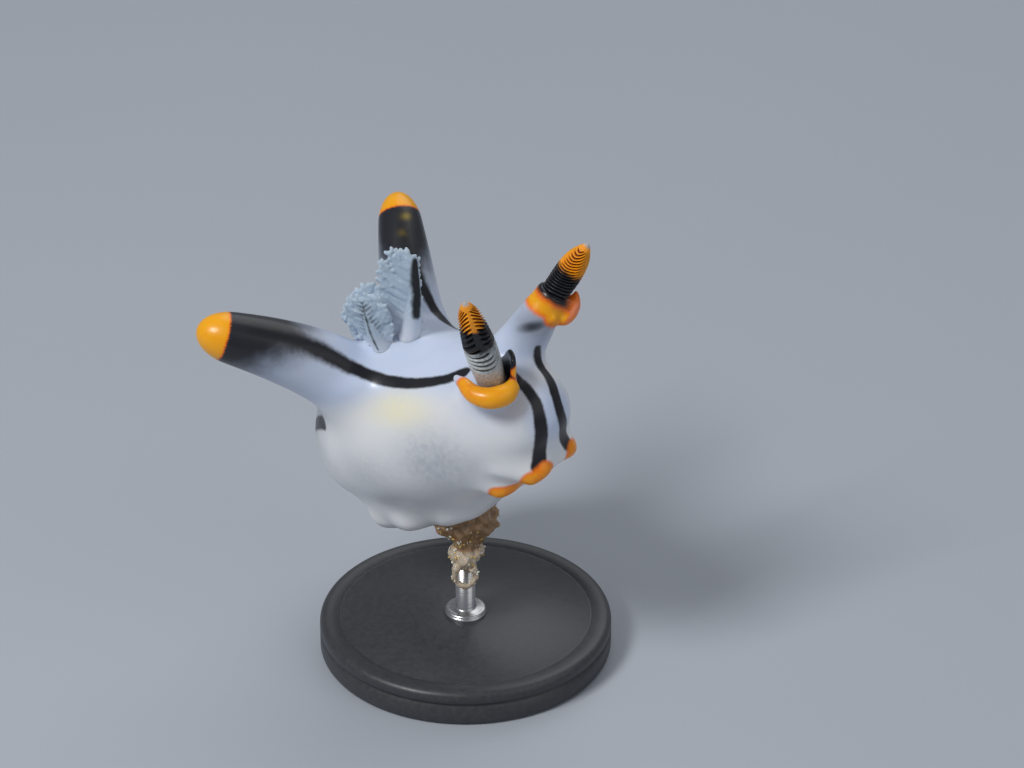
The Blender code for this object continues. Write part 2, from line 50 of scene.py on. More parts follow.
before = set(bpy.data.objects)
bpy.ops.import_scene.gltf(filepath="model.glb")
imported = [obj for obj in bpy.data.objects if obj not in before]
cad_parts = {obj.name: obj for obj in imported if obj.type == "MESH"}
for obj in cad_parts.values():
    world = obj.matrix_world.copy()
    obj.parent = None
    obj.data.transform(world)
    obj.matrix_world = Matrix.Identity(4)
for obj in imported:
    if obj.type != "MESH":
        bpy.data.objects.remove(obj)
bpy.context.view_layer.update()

MM = 0.001

# Curves are read up to just short of their ends, and their direction a step to either side
NEARLY_ALL = 0.9999
SHORT_OF_END = 0.002
CURVE_STEP = 0.01
SMALLEST_TIP = 0.0004

# A marking's value runs from OUTSIDE, far from it, over 0 at its edge to INSIDE, well within it.
# Points are measured against a line a lot at a time
OUTSIDE = -3.0
INSIDE = 3.0
LOT = 20000

# Filling of creases: rounds between new normals, and how much of each move is taken along the
# surface, out of a crease and into a bulge
NORMALS_EVERY = 12
SLIDE_SHARE = 0.5
CREASE_SHARE = 0.9
BULGE_SHARE = 0.10

# Pose of the slug on its perch
TRUNK_HEIGHT = 10.4
TRUNK_OFFSET = (-0.63, -0.45)
PITCH_UP = math.radians(18)
ROLL_LEFT_SIDE_UP = math.radians(6)

# Body: centre x, y, z, half width and half height, from the snout to the tip of the tail, and where
# on these stations the tail bends away from the foot
BODY_STATIONS = (
    (5.72, 0.0, -0.55, 0.0, 0.0),
    (5.32, 0.0, -0.15, 1.62, 1.70),
    (4.50, 0.0, 0.40, 2.26, 2.38),
    (3.10, 0.0, 0.65, 2.82, 2.88),
    (1.60, 0.0, 0.50, 3.25, 3.30),
    (0.00, 0.0, 0.36, 3.40, 3.56),
    (-1.80, 0.0, 0.12, 3.35, 3.58),
    (-3.50, 0.0, -0.42, 2.95, 3.18),
    (-4.85, 0.30, -1.20, 2.32, 2.45),
    (-5.70, 1.25, -1.95, 1.78, 1.78),
    (-6.05, 2.80, -2.60, 1.32, 1.30),
    (-5.60, 4.50, -3.05, 0.98, 0.95),
    (-4.50, 6.00, -3.35, 0.66, 0.66),
    (-3.00, 7.10, -3.50, 0.0, 0.0),
)
TAIL_BEND_POSITION = 8.5

# Foot: a narrow sole under the body, with wavy sides and ruffled margins. Its front curves up over
# the first share of its length
FOOT_FRONT_X = 2.8
FOOT_REAR_X = -5.3
FOOT_HALF_WIDTH = 1.5
FOOT_BELOW_BODY = 0.85
FOOT_DEPTH = 1.0
FOOT_WAVE = 0.10
FOOT_WAVES = 3.5
FOOT_RUFFLE = 0.10
FOOT_RUFFLES = 31
FOOT_FRONT_CURVE = 0.28
FOOT_REAR_FLARE = 0.5
FOOT_END_WIDTH = 0.25
FOOT_SQUARENESS = 0.6

# Pads at the mouth and at the front corners of the foot: both ends and radius
PADS = (
    ((5.11, 1.22, -1.38), (5.45, 0.80, -1.24), 0.43),
    ((3.98, 1.25, -1.72), (3.62, 1.66, -1.82), 0.42),
)

# Muzzle and front edge of the foot, which carry the pads: the left half's path, from the outer end
# to the middle, and its radii
MUZZLE = (((4.15, 1.75, -0.65), (4.80, 1.10, -1.00), (5.10, 0.0, -0.92)), (0.50, 0.62, 0.72))
FOOT_EDGE = (((2.30, 2.00, -1.00), (3.30, 1.45, -1.55), (3.75, 0.0, -1.70)), (0.45, 0.55, 0.60))

# Dorsolateral processes: the spine of each, its radii from root to tip, and its girth
PROCESS_RIGHT = ((-2.2, -1.5, 1.6), (-2.6, -2.3, 3.5), (-3.5, -3.95, 5.4), (-5.1, -6.15, 7.45))
PROCESS_LEFT = ((-2.1, 1.5, 1.8), (-2.3, 2.25, 3.5), (-3.2, 3.7, 5.3), (-4.6, 5.8, 7.54))
PROCESS_RADII = (1.6, 1.5, 1.27, 0.90)
PROCESS_LEFT_GIRTH = 0.88

# Rhinophore sheaths: foot of the neck, middle and radius of the mouth, the way that it faces, how
# much wider the cup is below, the front flap's turn, width and height, how high the rear rim stands,
# the rolled lip's rows of turn, height, reach and radius, how soft its paint is at its two ends (a
# softer edge paints a deeper orange, partly as shade), and the row up to which it stays pale: white
# flesh, with a painted highlight at the lip's rear end. Turns are in degrees, from the outer side to
# the front
SHEATH_RIGHT = {
    "side": -1,
    "root": (4.0, -0.85, 1.5),
    "mouth": (4.95, -1.35, 3.15),
    "axis": (0.49, -0.26, 0.83),
    "mouth_radius": 1.06,
    "swell": 0.90,
    "flap": (131, 38, 0.98),
    "rear_rise": -0.55,
    "lip": (
        (-61, -0.04, 1.28, 0.16),
        (-52, -0.02, 1.14, 0.23),
        (-42, 0.02, 1.04, 0.28),
        (-24, 0.05, 1.03, 0.33),
        (0, 0.10, 1.08, 0.38),
        (30, 0.12, 1.13, 0.43),
        (60, 0.06, 1.10, 0.43),
        (82, -0.02, 1.02, 0.34),
    ),
    "lip_softness": (0.10, 0.05),
    # Up to this row the lip stays pale: white flesh, with a painted highlight at its rear end
    "pale_highlight_end": 2.5,
}
SHEATH_LEFT = {
    "side": 1,
    "root": (3.3, 0.75, 2.0),
    "mouth": (6.08, 2.27, 4.94),
    "axis": (0.608, 0.465, 0.644),
    "mouth_radius": 0.66,
    "swell": 1.17,
    "flap": (117, 28, 0.0),
    "rear_rise": 0.0,
    "lip": (
        (122, -0.72, 0.60, 0.14),
        (110, -0.76, 0.66, 0.24),
        (96, -0.80, 0.70, 0.22),
        (84, -0.80, 0.78, 0.17),
        (70, -0.66, 0.90, 0.26),
        (58, -0.40, 0.95, 0.30),
        (50, -0.08, 0.92, 0.29),
        (44, 0.22, 0.82, 0.20),
        (42, 0.44, 0.74, 0.08),
    ),
    # The softer paint at the ear's end deepens its orange, as painted shade
    "lip_softness": (0.05, 0.36),
    "pale_highlight_end": 0.0,
}
SHEATH_ROOT_RADIUS = 1.35
SHEATH_NECK_RADIUS = 1.05
SHEATH_CUP_LENGTH = 1.25
SHEATH_CUP_DEPTH = 0.55
LIP_TURN = math.radians(30)
LIP_RISE = 0.10
LIP_SPREAD = 0.12

# Rhinophores: root and tip, radii of the whole club from the root to the point, the way that the
# bare ridge faces, how far the leaves below are twisted, the bare share of the club, and where
# the black and the orange begin. On both, the leaves end and the rounded point starts at the same
# share of the length
RHINOPHORES = {
    "rhinophore_right": {
        "ends": ((4.78, -1.17, 2.65), (6.46, -2.70, 7.13)),
        "radii": (0.54, 0.58, 0.62, 0.65, 0.64, 0.59, 0.53, 0.41, 0.10),
        "ridge": (0.68, -0.63, 0.37),
        "sweep": -0.9,
        "start": 0.30,
        "zones": (0.52, 0.75),
    },
    "rhinophore_left": {
        "ends": ((5.00, 1.45, 3.80), (7.55, 3.40, 6.50)),
        "radii": (0.52, 0.53, 0.54, 0.55, 0.56, 0.57, 0.54, 0.41, 0.10),
        "ridge": (0.3, 0.9, 0.2),
        "sweep": 0.0,
        "start": 0.20,
        "zones": (0.16, 0.71),
    },
}
LEAVES_END = 0.95
POINT_START = 0.965

# Gill: the ring on which the plumes stand, then each plume's turn round it, tip, length of its
# longest side branches, their spread sideways and inwards, how long the right ones are, and the
# half width of the black line on its outer side. A broad line has no veins beside it
GILL_RING_CENTRE = (-1.15, 0.0, 3.5)
GILL_RING_RADIUS = 0.80
GILL_PLUMES = (
    (math.radians(-20), (0.78, 0.68, 7.15), 1.75, 0.85, 0.55, 0.25, 0.25),
    (math.radians(-72), (-0.75, -1.2, 6.3), 1.05, 0.85, 0.10, 1.0, 0.05),
    (math.radians(-150), (-2.6, -0.55, 5.4), 0.75, 0.85, 0.10, 1.0, 0.04),
    (math.radians(150), (-3.0, 0.80, 5.6), 0.75, 0.85, 0.10, 1.0, 0.05),
    (math.radians(76), (-1.2, 1.8, 6.8), 0.95, 0.85, 0.10, 1.0, 0.05),
)
BROAD_LINE = 0.2
GILL_SEED = 11
GILL_SOFTENING = 10

# Perch: middle x and y, height over the floor and radius of each section. Loop beside it: centre,
# half sizes, opening, the way across it and how far each of its strands swings out of line
PERCH_STATIONS = (
    (0.00, 0.00, 7.4, 1.45),
    (0.00, 0.00, 6.2, 1.32),
    (0.12, -0.08, 5.6, 0.88),
    (0.24, -0.20, 5.1, 0.56),
    (0.34, -0.34, 4.75, 0.66),
    (0.32, -0.36, 4.40, 0.58),
    (0.14, -0.14, 4.05, 0.42),
    (0.05, -0.05, 3.75, 0.40),
)
LOOP_CENTRE = (0.66, -0.78, 3.95)
LOOP_HALF_WIDTH = 0.43
LOOP_HALF_HEIGHT = 0.52
LOOP_OPENING = math.radians(80)
LOOP_FACING = math.radians(40)
LOOP_STRANDS = (-0.05, 0.06)
PERCH_SEED = 5
PERCH_SOFTENING = 4

# Grains of sand: the height from which they are rarer, how rare they are there, their smallest
# radius and how much larger the largest is, the share of golden ones, and the tones by which the
# material tells golden ones from pale ones
RARE_GRAINS_FROM = 5.6
RARE_GRAINS_SHARE = 0.22
GRAIN_RADIUS = 0.018
GRAIN_RADIUS_RANGE = 0.050
GOLDEN_SHARE = 0.45
GOLDEN_TONE = 0.3
SANDY_TONE = 0.9

# Stand: the base's rounded lower and upper edges, the depth of its grooves, the radius of the
# collar at the rod's foot, and how far the rod goes up into the perch
BASE_LOWER_EDGE = 0.22
BASE_UPPER_EDGE = 0.30
SIDE_GROOVE_DEPTH = 0.07
TOP_GROOVE_DEPTH = 0.05
COLLAR_RADIUS = 0.85
COLLAR_EDGE = 0.12
ROD_IN_PERCH = 0.35

# Camera: how far right of and above the trunk's middle the picture's middle lies, the picture's
# width in pixels, the sensor's width and the nearest distance that is seen
VIEW_CENTRE_SHIFT = (2.68, 1.64)
PIXELS_ACROSS = 1024
SENSOR_WIDTH = 36.0
CLIP_START = 0.001

# Studio: the floor's half width, the lights' turn, height and size, how far off they hang, and
# the colour and strength of the light all round
FLOOR_HALF_WIDTH = 1.2
LIGHTS = (("key", -12, 48, 0.055), ("fill", 95, 30, 0.16), ("rim", 200, 50, 0.16))
LIGHT_DISTANCE = 0.2
SKY_COLOUR = (0.80, 0.86, 0.95, 1.0)
SKY_STRENGTH = 0.24

# Black stripes, each by points on the skin: x, y, z, half width and softness of the edge
SIDE_STRIPE_RIGHT = (
    (-3.10, -4.60, 6.70, 0.50, 0.45),
    (-2.60, -4.10, 6.15, 0.48, 0.36),
    (-2.20, -3.70, 5.55, 0.44, 0.26),
    (-1.75, -3.15, 4.90, 0.38, 0.17),
    (-1.30, -2.70, 4.15, 0.33, 0.11),
    (-1.00, -2.35, 3.60, 0.29, 0.08),
    (-0.30, -2.15, 3.20, 0.26, 0.06),
    (0.65, -2.10, 3.10, 0.25, 0.06),
    (1.50, -2.00, 3.05, 0.24, 0.06),
    (2.75, -1.65, 3.10, 0.22, 0.06),
    (3.50, -1.20, 3.20, 0.24, 0.06),
)
SIDE_STRIPE_LEFT = (
    (-2.60, 4.10, 6.60, 0.36, 0.30),
    (-1.90, 3.10, 5.60, 0.30, 0.18),
    (-1.45, 2.65, 4.70, 0.27, 0.10),
    (-1.05, 2.45, 3.80, 0.25, 0.07),
    (-0.60, 2.35, 3.20, 0.25, 0.06),
    (0.20, 2.30, 3.00, 0.25, 0.06),
    (0.90, 2.25, 3.00, 0.24, 0.06),
    (2.00, 2.05, 2.90, 0.22, 0.06),
    (3.00, 1.70, 3.00, 0.22, 0.06),
    (3.70, 1.55, 3.10, 0.24, 0.06),
)
FRONT_STRIPE_RIGHT = (
    (5.20, -0.40, 2.95, 0.24, 0.06),
    (5.65, -0.50, 2.45, 0.23, 0.06),
    (5.95, -0.55, 2.05, 0.23, 0.06),
    (6.20, -0.65, 1.60, 0.25, 0.06),
    (6.20, -0.90, 0.40, 0.30, 0.06),
    (5.80, -0.90, -0.35, 0.32, 0.06),
    (5.50, -1.00, -1.00, 0.33, 0.06),
)
FRONT_STRIPE_LEFT = (
    (5.60, 0.95, 3.05, 0.16, 0.06),
    (5.55, 1.00, 2.50, 0.24, 0.06),
    (5.90, 0.75, 2.00, 0.26, 0.06),
    (6.35, 0.35, 1.45, 0.27, 0.06),
    (6.40, 0.20, 0.60, 0.28, 0.06),
    (6.10, 0.35, -0.05, 0.30, 0.06),
    (5.50, 0.60, -0.90, 0.30, 0.06),
)

# Dark smudge below the left sheath's orange band: its centre, and the half sizes and strength of
# its two layers
SHEATH_SMUDGE = (5.60, 1.10, 4.10)
SMUDGE_LAYERS = (((1.3, 1.3, 1.1), 0.45), ((0.85, 0.85, 0.33), 0.80))

# Soft patches: what each shows, its centre, half sizes and strength. The spots are faint yellow
# and lie on the left process
SOFT_PATCHES = (
    ("spots", (-2.85, 3.95, 6.60), (0.26, 0.20, 0.14), 0.7),
    ("spots", (-3.20, 4.60, 7.00), (0.26, 0.20, 0.14), 0.7),
    ("cream", (0.80, -2.75, 2.30), (1.5, 1.1, 0.66), 1.0),
    ("cream", (0.80, 2.75, 2.30), (1.5, 1.1, 0.66), 1.0),
    ("organ", (2.0, -2.8, 0.2), (1.5, 1.6, 1.4), 1.0),
    ("organ", (1.6, 2.9, 0.1), (1.6, 1.6, 1.5), 1.0),
    ("organ", (-1.8, -3.0, -0.6), (1.6, 1.8, 1.2), 0.5),
)

# Painted ends, each by its length and the softness of its edge: the orange of a process, and the
# orange and the black of the tail, which lie beyond a y. A point belongs to a process within a
# reach, in radii of its spine, and from a distance beside the slug's middle
PROCESS_CAP = (1.18, 0.05)
TAIL_CAP = (1.1, 0.12)
TAIL_BAND = (1.9, 0.2)
TAIL_END_Y = 4.5
PROCESS_REACH = 1.5
PROCESS_BESIDE = 1.2

# Smoke below a process's cap: its length on the lower side, how much longer it is on the side that
# faces up, and how far past and before its end it fades. Clear flesh: where it starts from the tip
# and where it is complete
SMOKE_LENGTH = 2.3
SMOKE_LONGER = 1.7
SMOKE_FACES = (0.35, 0.0, 0.8)
SMOKE_FADE = (2.3, 1.7)
CLEAR_LENGTHS = (6.6, 3.0)

# Marks of the sheaths: how far from a mouth's middle, how low and high and how near to the slug's
# middle they reach, how strong the orange has to be to hide the black, how many samples of the
# lip are taken and how far the orange goes past its radius
SHEATH_MARKS_REACH = 1.9
SHEATH_MARKS_HEIGHTS = (-1.6, 2.2)
SHEATH_MARKS_BESIDE = 0.1
ORANGE_OVER_BLACK = 0.9
LIP_SAMPLES = 120
LIP_OVERLAP = 0.12

# Right sheath: turn, height, reach past the mouth and radius of the orange spot on its flap, the
# flap's half turn in radians, the height over which it is all black, how far below its rim its
# inner side is black, and how thick the wall is
FLAP_SPOT = (108, 0.56, 0.08, 0.30)
FLAP_HALF_TURN = 1.15
FLAP_BLACK_OVER = 0.16
FLAP_BLACK_DEPTH = 1.5
FLAP_WALL = 0.13

# Left sheath: how far below the mouth the middle of its orange band is, the band's half width, and
# the height and radius that the black inside it keeps to
CUP_BAND = (0.54, 0.36)
CUP_BLACK_OVER = -0.30
CUP_BLACK_RADIUS = 0.95

# Marks of the pads: how far the orange goes past their radius, how soft its edge is and the value
# that keeps its tone deep
PAD_OVERLAP = 0.04
PAD_SOFTNESS = 0.07
PAD_TONE = 1.25

# Soft folds: two drawn from the flank towards the perch, one at the foot's rear and a small pale
# spike beside the gill. Path and radii of each
FOLDS = (
    (((-0.9, -1.2, -3.3), (-0.2, -1.9, -2.5), (0.4, -2.45, -1.7)), (0.22, 0.20, 0.10)),
    (((-0.6, -1.2, -3.3), (0.6, -1.75, -2.5), (1.7, -2.0, -2.0)), (0.20, 0.16, 0.08)),
    (((-3.9, -1.2, -3.1), (-3.6, -1.6, -2.7), (-2.6, -2.2, -2.2)), (0.34, 0.36, 0.14)),
    (((0.12, 0.55, 3.1), (0.14, 0.62, 3.8), (0.12, 0.72, 4.50)), (0.42, 0.15, 0.04)),
)

# Shoulders that join each process to the trunk: path and radii
SHOULDERS = (
    (((-2.2, 1.7, 2.5), (-1.0, 1.5, 2.3), (0.3, 1.3, 2.0)), (1.25, 1.15, 0.90)),
    (((-2.1, 2.6, 3.4), (-0.9, 2.02, 2.70), (0.3, 1.92, 2.42), (1.6, 1.7, 2.2)), (1.0, 0.84, 0.70, 0.35)),
)

# Stripe along each side of the tail: the right one's start by points, then positions along the
# body's stations with the angle up from the side and the half width at each
TAIL_STRIPE_START = ((-4.00, 2.60, 1.25, 0.27), (-4.50, 2.25, 1.15, 0.30))
TAIL_STRIPE_POSITIONS = (8.0, 9.5, 11.0, 12.3)
TAIL_STRIPE_ANGLES = (36.0, 42.0, 50.0, 66.0)
TAIL_STRIPE_HALF_WIDTHS = (0.19, 0.18, 0.18, 0.22)
TAIL_STRIPE_SOFTNESS = 0.07
STRIPE_SAMPLES = 180

# Spine of the tail for measuring along it: its first station and its radii
TAIL_FIRST_STATION = 8
TAIL_RADII = (2.3, 1.78, 1.3, 0.98, 0.66, 0.4)


def unit(vectors):
    """Scale vectors to a length of one."""
    vectors = np.asarray(vectors, float)
    return vectors / np.linalg.norm(vectors, axis=-1, keepdims=True)


def smooth_step(low, high, values):
    """Rise smoothly from 0 at the low value to 1 at the high one."""
    part = np.clip((np.asarray(values, float) - low) / (high - low), 0.0, 1.0)
    return part * part * (3 - 2 * part)


def wrapped(angles):
    """Bring angles into the half turn to either side of 0."""
    return (angles + np.pi) % (2 * np.pi) - np.pi


def smooth_rows(rows, positions):
    """Read a smooth curve through the rows, where whole positions land on them."""
    rows = np.asarray(rows, float)
    positions = np.atleast_1d(np.asarray(positions, float))
    last = len(rows) - 1
    padded = np.vstack([2 * rows[0] - rows[1], rows, 2 * rows[-1] - rows[-2]])
    index = np.clip(positions.astype(int), 0, last - 1)
    part = (positions - index)[:, None]
    before, start, end, after = (padded[index + step] for step in range(4))
    return 0.5 * (
        2 * start
        + (end - before) * part
        + (2 * before - 5 * start + 4 * end - after) * part ** 2
        + (3 * start - before - 3 * end + after) * part ** 3
    )


def smooth_curve(rows, count, start=0.0):
    """Read the smooth curve through the rows at even steps, from a position to the last row."""
    return smooth_rows(rows, np.linspace(start, len(rows) - 1, count) * NEARLY_ALL)


def taper(radii, positions):
    """Read a smooth taper through the radii at positions on them."""
    return smooth_rows([(radius,) for radius in radii], positions)[:, 0]


def section_frames(tangents, hint=(0.0, 0.0, 1.0)):
    """Give the side and up directions of sections across the tangents."""
    tangents = unit(tangents)
    side = unit(np.cross(hint, tangents))
    return side, np.cross(tangents, side)


def turns(sides):
    """Give the cosine and sine of even turns round a section, ready to multiply directions."""
    angle = 2 * np.pi * np.arange(sides) / sides
    return np.cos(angle)[:, None], np.sin(angle)[:, None]


def tube(path, radii, sides, rings, flatten=1.0, dome=0.0, hint=(0.0, 0.0, 1.0)):
    """Give the rings of a smooth tapered tube, with a domed tip where asked."""
    part = np.linspace(0.0, 1.0, rings + 1)
    if dome:
        part = 1 - (1 - part) ** 1.5
    last = len(path) - 1
    position = np.minimum(part * last, last - SHORT_OF_END)
    centres = smooth_rows(path, position)
    ahead = smooth_rows(path, np.minimum(position + CURVE_STEP, last))
    behind = smooth_rows(path, np.maximum(position - CURVE_STEP, 0.0))
    radius = taper(radii, part * (len(radii) - 1) * NEARLY_ALL)
    if dome:
        over = np.clip((part - 1 + dome) / dome, 0.0, 1.0)
        radius = radius * np.sqrt(np.maximum(1 - over ** 2, SMALLEST_TIP))
    side, up = section_frames(ahead - behind, hint)
    cosine, sine = turns(sides)
    spread = side[:, None] * cosine + up[:, None] * sine * flatten
    return centres[:, None] + spread * radius[:, None, None]


def capped(rings, steps=8):
    """Round off both ends of a tube with shrinking rings."""
    start, end = rings[0], rings[-1]
    made = []
    for ring, neighbour, order in ((start, rings[1], 1), (end, rings[-2], -1)):
        middle = ring.mean(0)
        away = unit(middle - neighbour.mean(0))
        radius = np.linalg.norm(ring - middle, axis=1).mean()
        cap = []
        for step in range(1, steps):
            angle = 0.5 * math.pi * step / steps
            cap.append(middle + (ring - middle) * math.cos(angle) + away * radius * math.sin(angle))
        made.append(cap[::-1] if order == 1 else cap)
    return np.array([*made[0], *rings, *made[1]])


def rounded_tube(path, radii, sides, rings, hint=(0.0, 0.0, 1.0)):
    """Shape a closed tube with both ends rounded off."""
    return shell(capped(tube(path, radii, sides, rings, hint=hint)))


def shell(rings):
    """Give the points and faces of a closed shell through the rings, with fanned ends."""
    count, sides, _ = rings.shape
    points = np.vstack([rings.reshape(-1, 3), rings[0].mean(0), rings[-1].mean(0)])
    index = np.arange(count * sides).reshape(count, sides)
    following = np.roll(index, -1, axis=1)
    quads = np.stack([index[:-1], following[:-1], following[1:], index[1:]], axis=-1)
    faces = quads.reshape(-1, 4).tolist()
    first, last = count * sides, count * sides + 1
    faces += [[b, a, first] for a, b in zip(index[0].tolist(), following[0].tolist())]
    faces += [[a, b, last] for a, b in zip(index[-1].tolist(), following[-1].tolist())]
    return points, faces


def joined(shells):
    """Put several shells into one list of points and faces."""
    points = []
    faces = []
    total = 0
    for shell_points, shell_faces in shells:
        points.append(shell_points)
        faces += [[corner + total for corner in face] for face in shell_faces]
        total += len(shell_points)
    return np.vstack(points), faces


def new_object(name, points, faces):
    """Make a smooth mesh object from points in metres and faces."""
    mesh = bpy.data.meshes.new(name)
    mesh.from_pydata(points.tolist(), [], faces)
    mesh.polygons.foreach_set("use_smooth", np.ones(len(mesh.polygons), bool))
    mesh.update()
    piece = bpy.data.objects.new(name, mesh)
    bpy.context.scene.collection.objects.link(piece)
    return piece


def fused(shells, voxel):
    """Fuse closed shells into one even surface: its points, square faces and edges."""
    points, faces = joined(shells)
    rough = new_object("rough_form", points, faces)
    remesh = rough.modifiers.new("fuse", "REMESH")
    remesh.mode = "VOXEL"
    remesh.voxel_size = voxel
    depsgraph = bpy.context.evaluated_depsgraph_get()
    mesh = rough.evaluated_get(depsgraph).to_mesh()
    found = np.zeros(len(mesh.vertices) * 3, np.float32)
    mesh.vertices.foreach_get("co", found)
    corners = np.zeros(len(mesh.polygons) * 4, np.int32)
    mesh.polygons.foreach_get("vertices", corners)
    edges = np.zeros(len(mesh.edges) * 2, np.int32)
    mesh.edges.foreach_get("vertices", edges)
    rough.evaluated_get(depsgraph).to_mesh_clear()
    bpy.data.objects.remove(rough, do_unlink=True)
    return found.reshape(-1, 3).astype(float), corners.reshape(-1, 4), edges.reshape(-1, 2)


def to_neighbours(points, edges, neighbours):
    """Give the way from each point to the middle of its neighbours."""
    first, second = edges.T
    total = len(points)
    sums = [
        np.bincount(first, points[second, axis], total) + np.bincount(second, points[first, axis], total)
        for axis in range(3)
    ]
    return np.stack(sums, axis=1) / neighbours - points


def relaxed(points, edges, passes, weight=1.0, pull=0.5, push=-0.52):
    """Smooth the points by their neighbours, pushing back after each pull to keep the volume."""
    neighbours = np.bincount(edges.ravel(), minlength=len(points))[:, None]
    points = points.copy()
    for _ in range(passes):
        for share in (pull, push):
            points += weight * share * to_neighbours(points, edges, neighbours)
    return points


def point_normals(points, quads):
    """Give the outward normal at each point of a surface of squares."""
    corners = points[quads]
    normals = np.cross(corners[:, 2] - corners[:, 0], corners[:, 3] - corners[:, 1])
    sums = np.zeros_like(points)
    for corner in range(4):
        for axis in range(3):
            sums[:, axis] += np.bincount(quads[:, corner], normals[:, axis], len(points))
    return unit(sums + 1e-12)


def keep_value(piece, name, values):
    """Store one number at each point of the piece for its material to read."""
    attribute = piece.data.attributes.new(name, "FLOAT", "POINT")
    attribute.data.foreach_set("value", np.asarray(values, np.float32))


def posed(points):
    """Move points from the slug's own frame, in millimetres, to the world, in metres."""
    place = Vector((TRUNK_OFFSET[0], TRUNK_OFFSET[1], TRUNK_HEIGHT)) * MM
    turn = Matrix.Rotation(-PITCH_UP, 3, "Y") @ Matrix.Rotation(ROLL_LEFT_SIDE_UP, 3, "X")
    return points * MM @ np.array(turn).T + np.array(place)


def finish_piece(piece, nodes, material):
    """Give the piece its material, its body and the solids that it stands for."""
    piece.data.materials.append(material)
    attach(piece, "root")
    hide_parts(*nodes)


# Sockets of the colour mixing node, by number because their names repeat
FIRST_COLOUR_INPUT = 6
COLOUR_OUTPUT = 2


class NodeSheet:
    """A material being drawn: adds nodes by type, sets their sockets and links them."""

    def __init__(self, name):
        self.material = bpy.data.materials.new(name)
        self.material.use_nodes = True
        self.tree = self.material.node_tree
        self.shader = self.tree.nodes["Principled BSDF"]

    def join(self, value, socket):
        """Link a value from another node to a socket, or set it there."""
        if isinstance(value, bpy.types.NodeSocket):
            self.tree.links.new(value, socket)
        else:
            socket.default_value = value

    def feed(self, target, **inputs):
        """Set or link inputs by name, with spaces written as underscores."""
        for name, value in inputs.items():
            self.join(value, target.inputs[name.replace("_", " ")])

    def node(self, kind, **inputs):
        """Add a node and set or link the named inputs."""
        made = self.tree.nodes.new(kind)
        self.feed(made, **inputs)
        return made

    def value(self, name):
        """Read a number that the piece keeps at its points."""
        node = self.tree.nodes.new("ShaderNodeAttribute")
        node.attribute_name = name
        return node.outputs["Fac"]

    def place(self):
        """Read the place on the object, in metres."""
        return self.tree.nodes.new("ShaderNodeTexCoord").outputs["Object"]

    def noise(self, per_mm, detail=3.0, roughness=0.5):
        """Add noise with the given number of blotches in a millimetre."""
        scale = per_mm / MM
        place = self.place()
        made = self.node(
            "ShaderNodeTexNoise", Vector=place, Scale=scale, Detail=detail, Roughness=roughness
        )
        return made.outputs["Fac"]

    def ramp(self, value, low, high, start=0.0, end=1.0):
        """Map a value smoothly from one range to another."""
        made = self.node(
            "ShaderNodeMapRange", Value=value, From_Min=low, From_Max=high, To_Min=start, To_Max=end
        )
        made.interpolation_type = "SMOOTHSTEP"
        return made.outputs["Result"]

    def math(self, operation, first, second):
        """Combine two values."""
        made = self.tree.nodes.new("ShaderNodeMath")
        made.operation = operation
        for value, socket in zip((first, second), made.inputs):
            self.join(value, socket)
        return made.outputs["Value"]

    def swing(self, noise, amount):
        """Let noise swing to both sides of 0 by half the amount at most."""
        return self.math("MULTIPLY", self.math("SUBTRACT", noise, 0.5), amount)

    def blend(self, share, base, top):
        """Lay the top colour over the base by the share."""
        made = self.tree.nodes.new("ShaderNodeMix")
        made.data_type = "RGBA"
        self.join(share, made.inputs["Factor"])
        for colour, number in ((base, FIRST_COLOUR_INPUT), (top, FIRST_COLOUR_INPUT + 1)):
            linked = isinstance(colour, bpy.types.NodeSocket)
            self.join(colour if linked else (*colour, 1.0), made.inputs[number])
        return made.outputs[COLOUR_OUTPUT]

    def mottle(self, noise, first, second):
        """Mottle one colour with another by noise."""
        return self.blend(self.ramp(noise, 0.3, 0.7), first, second)

    def surface(self, colour, noise, smoothest, roughest):
        """Set the shader's colour, and its roughness where noise changes it."""
        roughness = self.ramp(noise, 0.2, 0.8, smoothest, roughest)
        self.feed(self.shader, Base_Color=colour, Roughness=roughness)

    def bump(self, height, strength, distance):
        """Raise the surface by a height, in millimetres at its full value."""
        made = self.node("ShaderNodeBump", Height=height, Strength=strength, Distance=distance * MM)
        self.feed(self.shader, Normal=made.outputs["Normal"])


def colour_prop(name, description, default):
    """Describe a colour that the user may change."""
    return FloatVectorProperty(
        name=name, description=description, default=default, subtype="COLOR", size=3, min=0.0, max=1.0
    )


def length_prop(name, description, millimetres):
    """Describe a length that the user may change, given here in millimetres."""
    return FloatProperty(
        name=name,
        description=description,
        default=millimetres * MM,
        min=0.0,
        precision=6,
        subtype="DISTANCE",
        unit="LENGTH",
    )


def count_prop(name, description, default, least=0):
    """Describe a whole number that the user may change."""
    return IntProperty(name=name, description=description, default=default, min=least)


def power_prop(name, description, watts):
    """Describe a light's power that the user may change."""
    return FloatProperty(name=name, description=description, default=watts, min=0.0, unit="POWER")


def angle_prop(name, description, degrees):
    """Describe an angle that the user may change, given here in degrees."""
    return FloatProperty(
        name=name, description=description, default=math.radians(degrees), subtype="ANGLE"
    )


